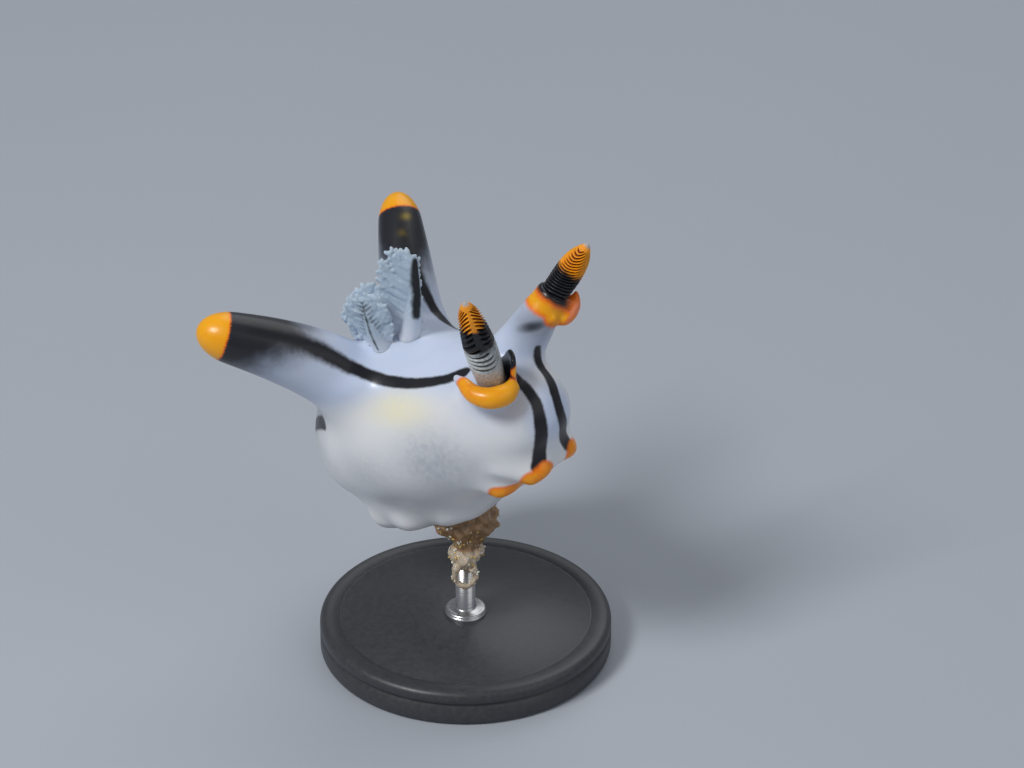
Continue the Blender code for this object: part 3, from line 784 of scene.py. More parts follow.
class SlugSkinSettings(bpy.types.PropertyGroup):
    """Sizes and colours of the skin."""

    grain: length_prop("Grain", "Edge of the squares that the skin is made of", 0.065)
    softening: count_prop("Softening", "Rounds of smoothing where forms meet", 55)
    filling: count_prop("Filling", "Rounds of filling the creases where forms meet", 400)
    white: colour_prop("White", "Colour of the plain flesh", (0.82, 0.83, 0.84))
    blue: colour_prop("Blue", "Colour of the clearer flesh of the back", (0.56, 0.66, 0.88))
    shade: colour_prop("Shade", "Colour of the greyer flesh over the organs", (0.40, 0.43, 0.49))
    cream: colour_prop("Cream", "Colour of the creamy patches on the flanks", (0.90, 0.84, 0.60))
    black: colour_prop("Black", "Colour of the stripes", (0.008, 0.008, 0.012))
    orange: colour_prop("Orange", "Colour of the tips and lips", (1.0, 0.42, 0.004))
    # Deep orange at the edges of the orange marks: partly the pads' own deeper orange, partly painted
    # shade on the edges of the tips and the left sheath's ear
    red: colour_prop("Deep orange", "Colour of the tips' shaded edges", (0.95, 0.20, 0.003))
    yellow: colour_prop("Yellow", "Colour of the faint spots on the left process", (0.34, 0.24, 0.015))


class RhinophoreSettings(bpy.types.PropertyGroup):
    """Sizes and colours of the rhinophores."""

    lamellae: count_prop("Lamellae", "Number of leaves on each rhinophore", 17, 3)
    leaf_depth: length_prop("Leaf depth", "How far the leaves stand out", 0.19)
    stalk: colour_prop("Stalk", "Colour of the bare stalk", (0.62, 0.66, 0.66))
    black: colour_prop("Black", "Colour of the dark band", (0.010, 0.010, 0.014))
    orange: colour_prop("Orange", "Colour of the leaves near the tip", (1.0, 0.36, 0.01))
    mottle: colour_prop("Mottling", "Colour that mottles the bare stalk", (0.40, 0.45, 0.48))
    # Painted shade in the grooves between the leaves: near black between the pale leaves, dark red-brown
    # between the orange ones
    gap: colour_prop("Gap", "Colour between the pale leaves", (0.02, 0.025, 0.03))
    orange_groove_shade: colour_prop("Orange groove shade", "Colour between the orange leaves", (0.22, 0.03, 0.0))
    point: colour_prop("Point", "Colour of the clear point", (0.45, 0.44, 0.42))


class GillSettings(bpy.types.PropertyGroup):
    """Sizes and colours of the gill."""

    grain: length_prop("Grain", "Edge of the squares that the plumes are made of", 0.034)
    branches: count_prop("Branches", "Pairs of side branches on each plume", 13, 3)
    root: colour_prop("Root", "Colour of the plumes where they leave the back", (0.78, 0.81, 0.88))
    frill: colour_prop("Frill", "Colour of the plumes' frilled branches", (0.38, 0.48, 0.58))
    mottle: colour_prop("Mottling", "Colour that mottles the frills", (0.60, 0.68, 0.78))
    black: colour_prop("Black", "Colour of the lines along the plumes", (0.008, 0.010, 0.014))


class PerchSettings(bpy.types.PropertyGroup):
    """Sizes and colours of the perch."""

    grain: length_prop("Grain", "Edge of the squares that the debris is made of", 0.045)
    grit: count_prop("Grit", "Number of grains of sand", 420)
    brown: colour_prop("Brown", "Colour of the slimy web", (0.20, 0.105, 0.045))
    crust: colour_prop("Crust", "Colour of the dry crust", (0.52, 0.43, 0.32))
    tan: colour_prop("Tan", "Colour that mottles the web", (0.36, 0.22, 0.11))
    dirt: colour_prop("Dirt", "Colour of the dark specks", (0.06, 0.035, 0.02))
    gold: colour_prop("Gold", "Colour of the golden grains", (0.80, 0.50, 0.16))
    sand: colour_prop("Sand", "Colour of the pale grains", (0.82, 0.78, 0.70))


class StandSettings(bpy.types.PropertyGroup):
    """Colours of the stand."""

    paint: colour_prop("Paint", "Colour of the satin base", (0.035, 0.037, 0.042))
    worn: colour_prop("Worn paint", "Colour that mottles the base", (0.05, 0.052, 0.058))
    steel: colour_prop("Steel", "Colour of the brushed rod", (0.60, 0.60, 0.61))
    dull: colour_prop("Dull steel", "Colour of the rod's brush marks", (0.45, 0.45, 0.46))


class StageSettings(bpy.types.PropertyGroup):
    """Floor, lights and camera."""

    floor: colour_prop("Floor", "Colour of the floor", (0.42, 0.45, 0.50))
    key: power_prop("Key", "Power of the main light in watts", 0.24)
    fill: power_prop("Fill", "Power of the fill light in watts", 0.05)
    rim: power_prop("Rim", "Power of the back light in watts", 0.10)
    azimuth: angle_prop("Azimuth", "Turn of the camera round the slug", 40)
    elevation: angle_prop("Elevation", "Height of the camera over the horizon", 30)
    distance: length_prop("Distance", "From the camera to the middle of the slug", 150.0)
    pixels_per_mm: FloatProperty(
        name="Scale", description="Pixels for each millimetre of the slug", default=25.0, min=1.0
    )


def body_rows(positions):
    """Give centres, half widths and half heights of the body at positions on its stations."""
    rows = [(x, y, z, width ** 2, height ** 2) for x, y, z, width, height in BODY_STATIONS]
    found = smooth_rows(rows, positions)
    return found[:, :3], np.sqrt(np.maximum(found[:, 3], 0.0)), np.sqrt(np.maximum(found[:, 4], 0.0))


def body_sections(positions):
    """Give the body's centres with its directions and half sizes at the positions."""
    end = len(BODY_STATIONS) - 1
    ahead, _, _ = body_rows(np.minimum(positions + CURVE_STEP, end))
    behind, _, _ = body_rows(np.maximum(positions - CURVE_STEP, 0.0))
    centres, width, height = body_rows(positions)
    side, up = section_frames(ahead - behind)
    return centres, side * width[:, None], up * height[:, None]


def body_position(x):
    """Find where along the stations the body's centre passes x, ahead of the tail's bend."""
    positions = np.linspace(0.0, TAIL_BEND_POSITION, 2000)
    return float(np.interp(-x, -body_rows(positions)[0][:, 0], positions))


def body_form(sides=140, rings=260):
    """Shape the body from the snout to the tip of the tail."""
    last = len(BODY_STATIONS) - 1
    part = np.linspace(0.0, 1.0, rings)
    part = (1 - np.cos(np.pi * part)) / 2 * 0.6 + part * 0.4
    positions = np.clip(part * last, SHORT_OF_END, last - SHORT_OF_END)
    centres, side, up = body_sections(positions)
    cosine, sine = turns(sides)
    return shell(centres[:, None] + side[:, None] * cosine + up[:, None] * sine)


def foot_form(sides=80, rings=170):
    """Shape the ruffled sole under the body."""
    made = []
    for part in np.linspace(0.0, 1.0, rings):
        x = FOOT_FRONT_X + (FOOT_REAR_X - FOOT_FRONT_X) * part
        centre, _, height = body_rows(body_position(x))
        narrowing = max(math.sqrt(1 - abs(2 * part - 1) ** 4), FOOT_END_WIDTH)
        wave = 1 + FOOT_WAVE * math.sin(2 * math.pi * FOOT_WAVES * part)
        half_width = FOOT_HALF_WIDTH * narrowing * wave * (1 + FOOT_REAR_FLARE * part ** 2)
        below = FOOT_BELOW_BODY * (0.25 + 0.75 * smooth_step(0.0, FOOT_FRONT_CURVE, part))
        middle = centre[0, 2] - height[0] - below + FOOT_DEPTH
        cosine, sine = turns(sides)
        across = np.sign(cosine) * np.abs(cosine) ** FOOT_SQUARENESS
        upward = np.sign(sine) * np.abs(sine) ** FOOT_SQUARENESS
        ruffle = FOOT_RUFFLE * np.sin(FOOT_RUFFLES * part + 2.0 * np.sign(cosine)) * np.abs(across) ** 3
        ring = np.hstack([
            np.full((sides, 1), x),
            centre[0, 1] + across * half_width,
            middle + upward * FOOT_DEPTH + ruffle,
        ])
        made.append(ring)
    return shell(np.array(made)[:, ::-1])


def pad_forms():
    """Shape the soft pads at the mouth and at the two front corners of the foot."""
    forms = []
    for start, end, radius in PADS:
        for side in (-1, 1):
            path = np.linspace(start, end, 4) * np.array([1, side, 1])
            forms.append(rounded_tube(path, (radius, radius), 40, 30))
    return forms


def process_form(path, girth):
    """Shape one long dorsolateral process."""
    radii = [radius * girth for radius in PROCESS_RADII]
    return shell(tube(path, radii, 90, 110, dome=0.13))


def toward_lip(turn):
    """Give how squarely a turn round the mouth faces the way that the lip does."""
    return np.maximum(np.cos(turn - LIP_TURN), 0.0) ** 2


def rim_rise(sheath, turn):
    """Give how high the rim stands at a turn round the mouth: a lip outside, a tall flap in front."""
    flap_turn, flap_width, flap_height = sheath["flap"]
    from_flap = wrapped(turn - math.radians(flap_turn))
    flap = flap_height * np.exp(-(from_flap / math.radians(flap_width)) ** 4)
    rear = sheath["rear_rise"] * np.maximum(-np.sin(turn), 0.0) ** 0.5
    return flap + rear + LIP_RISE * toward_lip(turn)


def sheath_directions(sheath):
    """Give the axis of a sheath and its sideways and forward directions."""
    axis = unit(sheath["axis"])
    lateral = np.array([0.2, sheath["side"], 0.0])
    lateral = unit(lateral - axis * np.dot(lateral, axis))
    forward = unit(np.array([1.0, 0.0, 0.0]) - axis * axis[0])
    forward = unit(forward - lateral * np.dot(forward, lateral))
    return axis, lateral, forward


def sheath_place(sheath, turn, height, reach):
    """Give a place by its turn round a sheath's mouth, its height over it and its reach from it."""
    axis, lateral, forward = sheath_directions(sheath)
    direction = lateral * math.cos(math.radians(turn)) + forward * math.sin(math.radians(turn))
    return np.array(sheath["mouth"]) + direction * reach + axis * height


def cup_form(sheath):
    """Shape a sheath's thin-walled cup with its raised front flap."""
    axis, lateral, forward = sheath_directions(sheath)
    centre = np.array(sheath["mouth"])
    mouth = sheath["mouth_radius"]
    swell = sheath["swell"]
    profile = (
        (-SHEATH_CUP_LENGTH, mouth * swell, 0.0, 0.0),
        (-0.75 * SHEATH_CUP_LENGTH, mouth * (swell + 0.02), 0.2, 0.0),
        (-0.40 * SHEATH_CUP_LENGTH, mouth * (0.55 + 0.45 * swell), 0.6, 0.35),
        (0.0, mouth, 1.0, 1.0),
        (0.0, mouth - 0.20, 1.0, 1.0),
        (-0.5 * SHEATH_CUP_DEPTH, mouth - 0.24, 0.5, 0.2),
        (-SHEATH_CUP_DEPTH, mouth - 0.36, 0.0, 0.0),
    )
    cosine, sine = turns(96)
    turn = np.arctan2(sine, cosine)
    direction = lateral * cosine + forward * sine
    rings = []
    for along, radius, lip, share in smooth_curve(profile, 60):
        spread = radius + LIP_SPREAD * lip * toward_lip(turn)
        height = along + share * rim_rise(sheath, turn)
        rings.append(centre + axis * height + direction * spread)
    rings = np.array(rings)
    if np.dot(np.cross(lateral, forward), axis) < 0:
        rings = rings[:, ::-1]
    return shell(rings)


def sheath_forms(sheath):
    """Shape one sheath: a thin-walled cup with a raised front flap, a neck and a rolled lip."""
    axis, _, _ = sheath_directions(sheath)
    root = np.array(sheath["root"])
    cup_root = np.array(sheath["mouth"]) - axis * SHEATH_CUP_LENGTH * 0.9
    neck = np.array([root, (root + cup_root) / 2, cup_root])
    cup_radius = sheath["mouth_radius"] * sheath["swell"] * 1.02
    lip_path, lip_radii = lip_line(sheath, 40)
    return [
        cup_form(sheath),
        rounded_tube(neck, (SHEATH_ROOT_RADIUS, SHEATH_NECK_RADIUS, cup_radius), 60, 40),
        rounded_tube(lip_path, lip_radii, 40, 90, tuple(axis)),
    ]


def lip_line(sheath, count, start=0.0):
    """Give points and radii along a sheath's rolled lip."""
    rows = [(*sheath_place(sheath, *row[:3]), row[3]) for row in sheath["lip"]]
    rows = smooth_curve(rows, count, start)
    return rows[:, :3], rows[:, 3]


def soft_blob(points, centre, reach):
    """Give how strongly a soft patch of the given half sizes shows at each point."""
    away = (points - np.array(centre)) / np.array(reach)
    return np.exp(-(away ** 2).sum(1))


def lots(count):
    """Give slices that go through a count of points a lot at a time."""
    return [slice(start, start + LOT) for start in range(0, count, LOT)]


def inside_line(points, samples, half_widths, softness):
    """Tell how far inside a line's edge each point lies, as a share of the edge's softness."""
    result = np.full(len(points), OUTSIDE)
    margin = (half_widths + INSIDE * softness).max()
    low = samples.min(0) - margin
    high = samples.max(0) + margin
    near = np.nonzero(((points > low) & (points < high)).all(1))[0]
    for lot in lots(len(near)):
        chosen = near[lot]
        away = np.linalg.norm(points[chosen, None] - samples[None], axis=2)
        result[chosen] = np.maximum(((half_widths - away) / softness).max(1), OUTSIDE)
    return result


def relaxed_line(samples, passes=60):
    """Even out a line of points that was set on the skin."""
    for _ in range(passes):
        samples[1:-1] = 0.5 * samples[1:-1] + 0.25 * (samples[:-2] + samples[2:])
    return samples


def stripe_value(points, tree, controls):
    """Lay a stripe on the skin through its control points."""
    rows = smooth_curve(controls, STRIPE_SAMPLES)
    samples = relaxed_line(np.array([tree.find(row[:3])[0] for row in rows]))
    return inside_line(points, samples, rows[:, 3], rows[:, 4])


def tail_stripe(side):
    """Give the control points of the stripe along one side of the tail."""
    rows = []
    if side < 0:
        rows = [(x, -y, z, width, TAIL_STRIPE_SOFTNESS) for x, y, z, width in TAIL_STRIPE_START]
    centres, across, up = body_sections(np.array(TAIL_STRIPE_POSITIONS))
    for index, (angle, half_width) in enumerate(zip(TAIL_STRIPE_ANGLES, TAIL_STRIPE_HALF_WIDTHS)):
        turn = math.radians(angle if side < 0 else 180 - angle)
        point = centres[index] + across[index] * math.cos(turn) + up[index] * math.sin(turn)
        rows.append((*point, half_width, TAIL_STRIPE_SOFTNESS))
    return rows


def along_spine(points, path, radii):
    """Measure each point against a tapered spine: length from the tip, and offset in radii."""
    positions = np.linspace(0, len(path) - 1, 160) * NEARLY_ALL
    spine = smooth_rows(path, positions)
    steps = np.linalg.norm(np.diff(spine, axis=0), axis=1)
    from_tip = np.concatenate([np.cumsum(steps[::-1])[::-1], [0.0]])
    girth = taper(radii, positions / (len(path) - 1) * (len(radii) - 1))
    offset = np.empty(points.shape)
    length = np.empty(len(points))
    for lot in lots(len(points)):
        away = np.linalg.norm(points[lot, None] - spine[None], axis=2)
        nearest = away.argmin(1)
        offset[lot] = (points[lot] - spine[nearest]) / girth[nearest, None]
        length[lot] = from_tip[nearest]
    return length, offset


def end_mark(chosen, from_tip, reach, softness):
    """Mark the chosen points up to a reach from a tip."""
    return np.where(chosen, (reach - from_tip) / softness, OUTSIDE)


def process_marks(points, path, girth, side):
    """Mark one process: its orange cap, the smoky black below it and its clear flesh."""
    radii = [radius * girth for radius in PROCESS_RADII]
    length, offset = along_spine(points, path, radii)
    on_it = np.linalg.norm(offset, axis=1) < PROCESS_REACH
    on_it &= points[:, 1] * side > PROCESS_BESIDE
    edge = SMOKE_LENGTH + SMOKE_LONGER * smooth_step(-0.3, 1.0, offset @ unit(SMOKE_FACES))
    fade_out, fade_in = SMOKE_FADE
    return {
        "orange": end_mark(on_it, length, *PROCESS_CAP),
        "smoke": np.where(on_it, smooth_step(edge + fade_out, edge - fade_in, length), 0.0),
        "clear": np.where(on_it, smooth_step(*CLEAR_LENGTHS, length), 0.0),
    }


def right_cup_marks(points, sheath, turn, height, radius):
    """Mark the right cup: an orange spot on its flap, and black on the flap and inside it."""
    mouth = sheath["mouth_radius"]
    spot_turn, spot_height, spot_reach, spot_radius = FLAP_SPOT
    spot = sheath_place(sheath, spot_turn, spot_height, mouth + spot_reach)
    orange = (spot_radius - np.linalg.norm(points - spot, axis=1)) / 0.04
    from_flap = np.abs(wrapped(turn - math.radians(sheath["flap"][0])))
    on_flap = (FLAP_HALF_TURN - from_flap) / 0.12
    below_rim = (FLAP_BLACK_DEPTH - rim_rise(sheath, turn) + height) / 0.2
    inside = np.minimum(below_rim, (mouth - FLAP_WALL - radius) / 0.05)
    return orange, np.minimum(on_flap, np.maximum(inside, (height - FLAP_BLACK_OVER) / 0.08))


def left_cup_marks(height, radius):
    """Mark the left cup: an orange band round its outside, and black inside it."""
    middle, half_width = CUP_BAND
    band = (half_width - np.abs(height + middle)) / 0.13
    orange = np.where(radius < 1.0, band, OUTSIDE)
    inside = (CUP_BLACK_RADIUS - radius) / 0.06
    return orange, np.minimum((height - CUP_BLACK_OVER) / 0.08, inside)


def sheath_marks(points, sheath):
    """Mark one sheath: the orange of its lip, the marks of its cup and the clear flesh round it."""
    axis, lateral, forward = sheath_directions(sheath)
    offset = points - np.array(sheath["mouth"])
    height = offset @ axis
    turn = np.arctan2(offset @ forward, offset @ lateral)
    radius = np.hypot(offset @ lateral, offset @ forward)
    low, high = SHEATH_MARKS_HEIGHTS
    near = (radius < SHEATH_MARKS_REACH) & (height > low) & (height < high)
    near &= points[:, 1] * sheath["side"] > SHEATH_MARKS_BESIDE
    # The orange starts past the pale end, which leaves white flesh and a painted highlight at the lip's
    # rear end
    samples, widths = lip_line(sheath, LIP_SAMPLES, sheath["pale_highlight_end"])
    softness = np.linspace(*sheath["lip_softness"], LIP_SAMPLES)
    orange = inside_line(points, samples, widths + LIP_OVERLAP, softness)
    if sheath["side"] < 0:
        cup_orange, black = right_cup_marks(points, sheath, turn, height, radius)
    else:
        cup_orange, black = left_cup_marks(height, radius)
    orange = np.maximum(orange, cup_orange)
    return {
        "orange": np.where(near, orange, OUTSIDE),
        "black": np.where(near & (orange < ORANGE_OVER_BLACK), black, OUTSIDE),
        "clear": soft_blob(points, sheath["mouth"], (1.6, 1.6, 1.6)),
    }


def pad_marks(points):
    """Mark the orange pads at the mouth and at the foot's front corners."""
    value = np.full(len(points), OUTSIDE)
    for start, end, radius in PADS:
        for side in (-1, 1):
            samples = np.linspace(start, end, 60) * np.array([1, side, 1])
            half_widths = np.full(60, radius + PAD_OVERLAP)
            inside = inside_line(points, samples, half_widths, np.full(60, PAD_SOFTNESS))
            value = np.maximum(value, inside)
    return {"orange": np.minimum(value, PAD_TONE)}


def tail_marks(points):
    """Mark the tail: its orange tip, the black band below it and its clear flesh."""
    spine = [station[:3] for station in BODY_STATIONS[TAIL_FIRST_STATION:]]
    length, offset = along_spine(points, spine, TAIL_RADII)
    at_end = points[:, 1] > TAIL_END_Y
    on_it = np.linalg.norm(offset, axis=1) < 2.0
    return {
        "orange": end_mark(at_end, length, *TAIL_CAP),
        "black": end_mark(at_end, length, *TAIL_BAND),
        "clear": 0.6 * smooth_step(6.0, 1.0, length) * on_it,
    }


def stripe_marks(points):
    """Mark the black stripes of the sides, the front and the tail."""
    tree = KDTree(len(points))
    for index, point in enumerate(points):
        tree.insert(point, index)
    tree.balance()
    stripes = (SIDE_STRIPE_RIGHT, SIDE_STRIPE_LEFT, FRONT_STRIPE_RIGHT, FRONT_STRIPE_LEFT)
    return [
        {"black": stripe_value(points, tree, stripe)}
        for stripe in (*stripes, tail_stripe(-1), tail_stripe(1))
    ]


def mirrored(path):
    """Give a path's other side, across the slug's middle."""
    return [(x, -y, z) for x, y, z in path]


def both_halves(path, radii):
    """Run a path and its radii on over the slug's middle, from the right end to the left one."""
    return [*mirrored(path), *path[-2::-1]], [*radii, *radii[-2::-1]]


def slug_forms():
    """List the closed forms that the skin covers."""
    forms = [body_form(), foot_form(), *pad_forms()]
    forms.append(process_form(PROCESS_RIGHT, 1.0))
    forms.append(process_form(PROCESS_LEFT, PROCESS_LEFT_GIRTH))
    forms += sheath_forms(SHEATH_RIGHT)
    forms += sheath_forms(SHEATH_LEFT)
    for plume in GILL_PLUMES:
        path, axis, _ = plume_path(plume)
        flare = np.array([path[1] - axis * 0.7, path[1], path[1] + axis * 0.55])
        forms.append(rounded_tube(flare, (1.0, 0.72, 0.46), 30, 20))
    folds = [*FOLDS, both_halves(*MUZZLE), both_halves(*FOOT_EDGE)]
    for path, radii in SHOULDERS:
        folds += [(path, radii), (mirrored(path), radii)]
    for path, radii in folds:
        forms.append(rounded_tube(path, radii, 24, 40))
    return forms


def sheath_weight(points):
    """Give less smoothing near the thin rims of the sheaths."""
    weight = np.ones(len(points))
    for sheath in (SHEATH_RIGHT, SHEATH_LEFT):
        away = np.linalg.norm(points - np.array(sheath["mouth"]), axis=1)
        weight = np.minimum(weight, 0.06 + 0.94 * smooth_step(1.5, 2.6, away))
    return weight[:, None]


def filled(points, quads, edges, passes, weight):
    """Fill the creases where forms meet, and leave what bulges nearly as it is."""
    neighbours = np.bincount(edges.ravel(), minlength=len(points))[:, None]
    points = points.copy()
    for turn in range(passes):
        if turn % NORMALS_EVERY == 0:
            normals = point_normals(points, quads)
        move = to_neighbours(points, edges, neighbours)
        outward = (move * normals).sum(1, keepdims=True)
        slide = move - outward * normals
        share = np.where(outward > 0, CREASE_SHARE, BULGE_SHARE)
        points += weight * (SLIDE_SHARE * slide + normals * share * outward)
    return points


def skin_marks(points):
    """Gather all the marks of the skin, with the strongest of each kind at every point."""
    found = [
        *stripe_marks(points),
        pad_marks(points),
        process_marks(points, PROCESS_RIGHT, 1.0, -1),
        process_marks(points, PROCESS_LEFT, PROCESS_LEFT_GIRTH, 1),
        sheath_marks(points, SHEATH_RIGHT),
        sheath_marks(points, SHEATH_LEFT),
        tail_marks(points),
    ]
    for reach, strength in SMUDGE_LAYERS:
        found.append({"smoke": strength * soft_blob(points, SHEATH_SMUDGE, reach)})
    marks = {}
    for mark in found:
        for name, values in mark.items():
            marks[name] = np.maximum(marks.get(name, values), values)
    return marks


def mark_skin(piece, points):
    """Store the markings of the skin at its points."""
    marks = skin_marks(points)
    clear = np.clip(marks["clear"], 0, 1)
    back = smooth_step(1.9, 3.2, points[:, 2]) * 0.75
    back = np.maximum(back, 0.8 * smooth_step(5.6, 6.4, points[:, 0]))
    keep_value(piece, "black", np.clip(marks["black"], OUTSIDE, INSIDE))
    keep_value(piece, "orange", np.clip(marks["orange"], OUTSIDE, INSIDE))
    keep_value(piece, "back", np.maximum(back, clear))
    keep_value(piece, "smoke", marks["smoke"])
    keep_value(piece, "clear", clear)
    for kind in ("spots", "cream", "organ"):
        value = np.zeros(len(points))
        for name, centre, reach, strength in SOFT_PATCHES:
            if name == kind:
                value += strength * soft_blob(points, centre, reach)
        keep_value(piece, kind, np.clip(value, 0, 1))


def flesh_colour(sheet, settings, fine):
    """Draw the plain flesh: white below, bluish on the back, greyer over the organs, and creamy."""
    colour = sheet.blend(sheet.value("back"), settings.white, settings.blue)
    depth = sheet.math("MULTIPLY", sheet.value("organ"), sheet.ramp(fine, 0.25, 0.75, 0.45, 0.85))
    depth = sheet.math("MAXIMUM", depth, sheet.ramp(sheet.noise(0.32, 2.0), 0.48, 0.75, 0.0, 0.22))
    depth = sheet.math("MAXIMUM", depth, sheet.math("MULTIPLY", sheet.value("clear"), 0.50))
    colour = sheet.blend(depth, colour, settings.shade)
    cream = sheet.math("MULTIPLY", sheet.value("cream"), sheet.ramp(fine, 0.2, 0.7, 0.6, 0.95))
    return sheet.blend(cream, colour, settings.cream)


def painted_colour(sheet, settings, colour):
    """Lay the smoke, the spots, the black stripes and the orange over the flesh."""
    cloud = sheet.math("MULTIPLY", sheet.swing(sheet.noise(1.4, 4.0, 0.6), 0.4), sheet.value("clear"))
    smoke = sheet.math("ADD", sheet.value("smoke"), cloud)
    colour = sheet.blend(sheet.ramp(smoke, 0.03, 0.90, 0.0, 0.985), colour, settings.black)
    colour = sheet.blend(sheet.value("spots"), colour, settings.yellow)
    wobble = sheet.noise(3.0, 4.0, 0.65)
    edge = sheet.math("ADD", sheet.value("black"), sheet.swing(wobble, 1.6))
    colour = sheet.blend(sheet.ramp(edge, -1.0, 1.2), colour, settings.black)
    # The orange turns deep orange towards the edges of its marks: partly the pads' own colour, partly
    # painted shade
    inner = sheet.math("ADD", sheet.value("orange"), sheet.swing(wobble, 2.0))
    tone = sheet.blend(sheet.ramp(inner, 0.3, 2.2), settings.red, settings.orange)
    edge = sheet.math("ADD", sheet.value("orange"), sheet.swing(wobble, 1.0))
    return sheet.blend(sheet.ramp(edge, -1.0, 1.0), colour, tone)


def skin_material(settings):
    """Draw the moist, faintly clear skin with its stripes, tips and soft patches."""
    sheet = NodeSheet("moist_painted_skin")
    fine = sheet.noise(4.0, 5.0, 0.6)
    dust = sheet.noise(16.0, 2.0)
    colour = painted_colour(sheet, settings, flesh_colour(sheet, settings, fine))
    sheet.surface(colour, dust, 0.30, 0.42)
    flesh_shader(sheet)
    sheet.bump(sheet.math("ADD", fine, dust), 0.15, 0.02)
    return sheet.material


def flesh_shader(sheet, subsurface=0.45, scale=0.6, coat=0.20):
    """Make the shader moist and slightly see-through, like soft flesh under water."""
    sheet.feed(
        sheet.shader,
        Subsurface_Weight=subsurface,
        Subsurface_Radius=(1.0, 0.85, 0.75),
        Subsurface_Scale=scale * MM,
        Coat_Weight=coat,
        Coat_Roughness=0.18,
        Sheen_Weight=0.04,
        Specular_IOR_Level=0.4,
        Sheen_Roughness=0.35,
        Sheen_Tint=(0.62, 0.74, 1.0, 1.0),
    )


def leaf_pattern(part, turn, length, start, lamellae):
    """Give how far the leaves rise between their gaps, and how much they show, over the grid."""
    tilt = 0.62 * smooth_step(0.38, 0.85, part) * np.cos(turn)
    shift = 0.25 * np.sign(turn) * smooth_step(np.pi, 2.5, np.abs(turn))
    raised = np.clip((part - tilt / length - start) / (LEAVES_END - start), 0.0, 1.2)
    phase = lamellae * raised ** 1.25 + shift + 0.12 * np.sin(2 * turn + 7 * part)
    wave = 0.5 - 0.5 * np.cos(2 * np.pi * phase)
    sharp = smooth_step(0.5, 0.75, part)
    leaf = (1 - sharp) * (1 - (1 - wave) ** 3.2) + sharp * wave ** 1.3
    bare_ridge = 1 - smooth_step(0.10, 0.42, np.abs(turn))
    leaf = leaf * (1 - bare_ridge) + 0.80 * bare_ridge
    begun = smooth_step(start - 0.02, start + 0.05, part)
    ended = smooth_step(LEAVES_END - 0.03, LEAVES_END, part)
    return leaf, begun * (1 - ended)


def rhinophore_surface(shape, lamellae, leaf_depth, rings=300, sides=120):
    """Shape one rhinophore: its grid of points, and at each the depth of the groove between leaves, where
    the material paints shade, and the height.
    """
    root, tip = np.array(shape["ends"])
    axis = unit(tip - root)
    length = np.linalg.norm(tip - root)
    ridge = unit(np.array(shape["ridge"]) - axis * np.dot(shape["ridge"], axis))
    across = np.cross(axis, ridge)
    part = np.linspace(0.0, 1.0, rings)[:, None]
    angle = (2 * np.pi * np.arange(sides) / sides)[None, :]
    turn = wrapped(angle + shape["sweep"] * (1 - smooth_step(0.42, 0.62, part)))
    radii = shape["radii"]
    envelope = taper(radii, part[:, 0] * (len(radii) - 1) * NEARLY_ALL)[:, None]
    leaf, cover = leaf_pattern(part, turn, length, shape["start"], lamellae)
    depth = leaf_depth * cover * np.minimum(envelope / 0.55, 1.0)
    radius = envelope - depth * (1 - leaf)
    past = (part - POINT_START) / (1 - POINT_START)
    radius = np.where(past > 0, radius * np.sqrt(np.clip(1 - past ** 2, 0.02, 1.0)), radius)
    direction = ridge * np.cos(angle)[..., None] + across * np.sin(angle)[..., None]
    grid = root + axis * (length * part)[..., None] + direction * radius[..., None]
    return grid, cover * (1 - leaf), np.repeat(part, sides, axis=1)


def rhinophore_material(settings):
    """Draw the rhinophore: pale stalk, black band, orange leaves with painted shade in the grooves between
    leaves, clear point.
    """
    sheet = NodeSheet("lamellate_rhinophore_flesh")
    tone = sheet.math("ADD", sheet.value("tone"), sheet.swing(sheet.noise(3.0, 3.0), 0.16))
    fine = sheet.noise(9.0, 3.0, 0.6)
    # Depth of the groove between leaves, which sets how much shade is painted there
    gap = sheet.value("groove")
    pale = sheet.mottle(fine, settings.stalk, settings.mottle)
    colour = sheet.blend(sheet.ramp(gap, 0.08, 0.5), pale, settings.gap)
    colour = sheet.blend(sheet.ramp(tone, 0.88, 1.08), colour, settings.black)
    # Orange leaves with dark red-brown painted shade in their grooves
    orange_with_groove_shade = sheet.blend(sheet.ramp(gap, 0.25, 0.8), settings.orange, settings.orange_groove_shade)
    colour = sheet.blend(sheet.ramp(tone, 1.90, 2.06), colour, orange_with_groove_shade)
    colour = sheet.blend(sheet.ramp(tone, 2.87, 2.97), colour, settings.point)
    sheet.surface(colour, fine, 0.34, 0.5)
    flesh_shader(sheet, 0.2, 0.25, 0.10)
    sheet.bump(fine, 0.2, 0.015)
    return sheet.material


def plume_path(plume):
    """Give the path of a plume's rachis, the way that it points and its outward direction."""
    turn, tip = plume[:2]
    outward = np.array([math.cos(turn), math.sin(turn), 0.0])
    root = np.array(GILL_RING_CENTRE) + outward * GILL_RING_RADIUS
    tip = np.array(tip)
    axis = unit(tip - root)
    bow = (root + tip) / 2 + outward * 0.08 * np.linalg.norm(tip - root)
    return np.array([root - axis * 0.6, root, bow, tip]), axis, outward


def branch_starts(plume, branches):
    """Give where each side branch leaves the rachis, its heading and its reach."""
    longest, fan, inward, right_share = plume[2:6]
    path, axis, outward = plume_path(plume)
    across = unit(np.cross(axis, outward))
    starts = []
    for pair in range(branches):
        part = 0.16 + 0.80 * pair / (branches - 1)
        start = smooth_rows(path, 1 + 2 * part)[0]
        reach = longest * (math.sin(math.pi * part ** 1.2) ** 0.7) * 1.02 + 0.10
        for side, share in ((-1, 1.0), (1, right_share)):
            starts.append((start, unit(across * side * fan - outward * inward), reach * share))
    return starts


def branch_path(start, heading, axis, reach):
    """Give the path of a side branch, which curves up towards the plume's tip."""
    bend = start + unit(heading + axis * 0.60) * reach * 0.55
    end = bend + unit(heading + axis * 1.50) * reach * 0.50
    return np.array([start, bend, end])


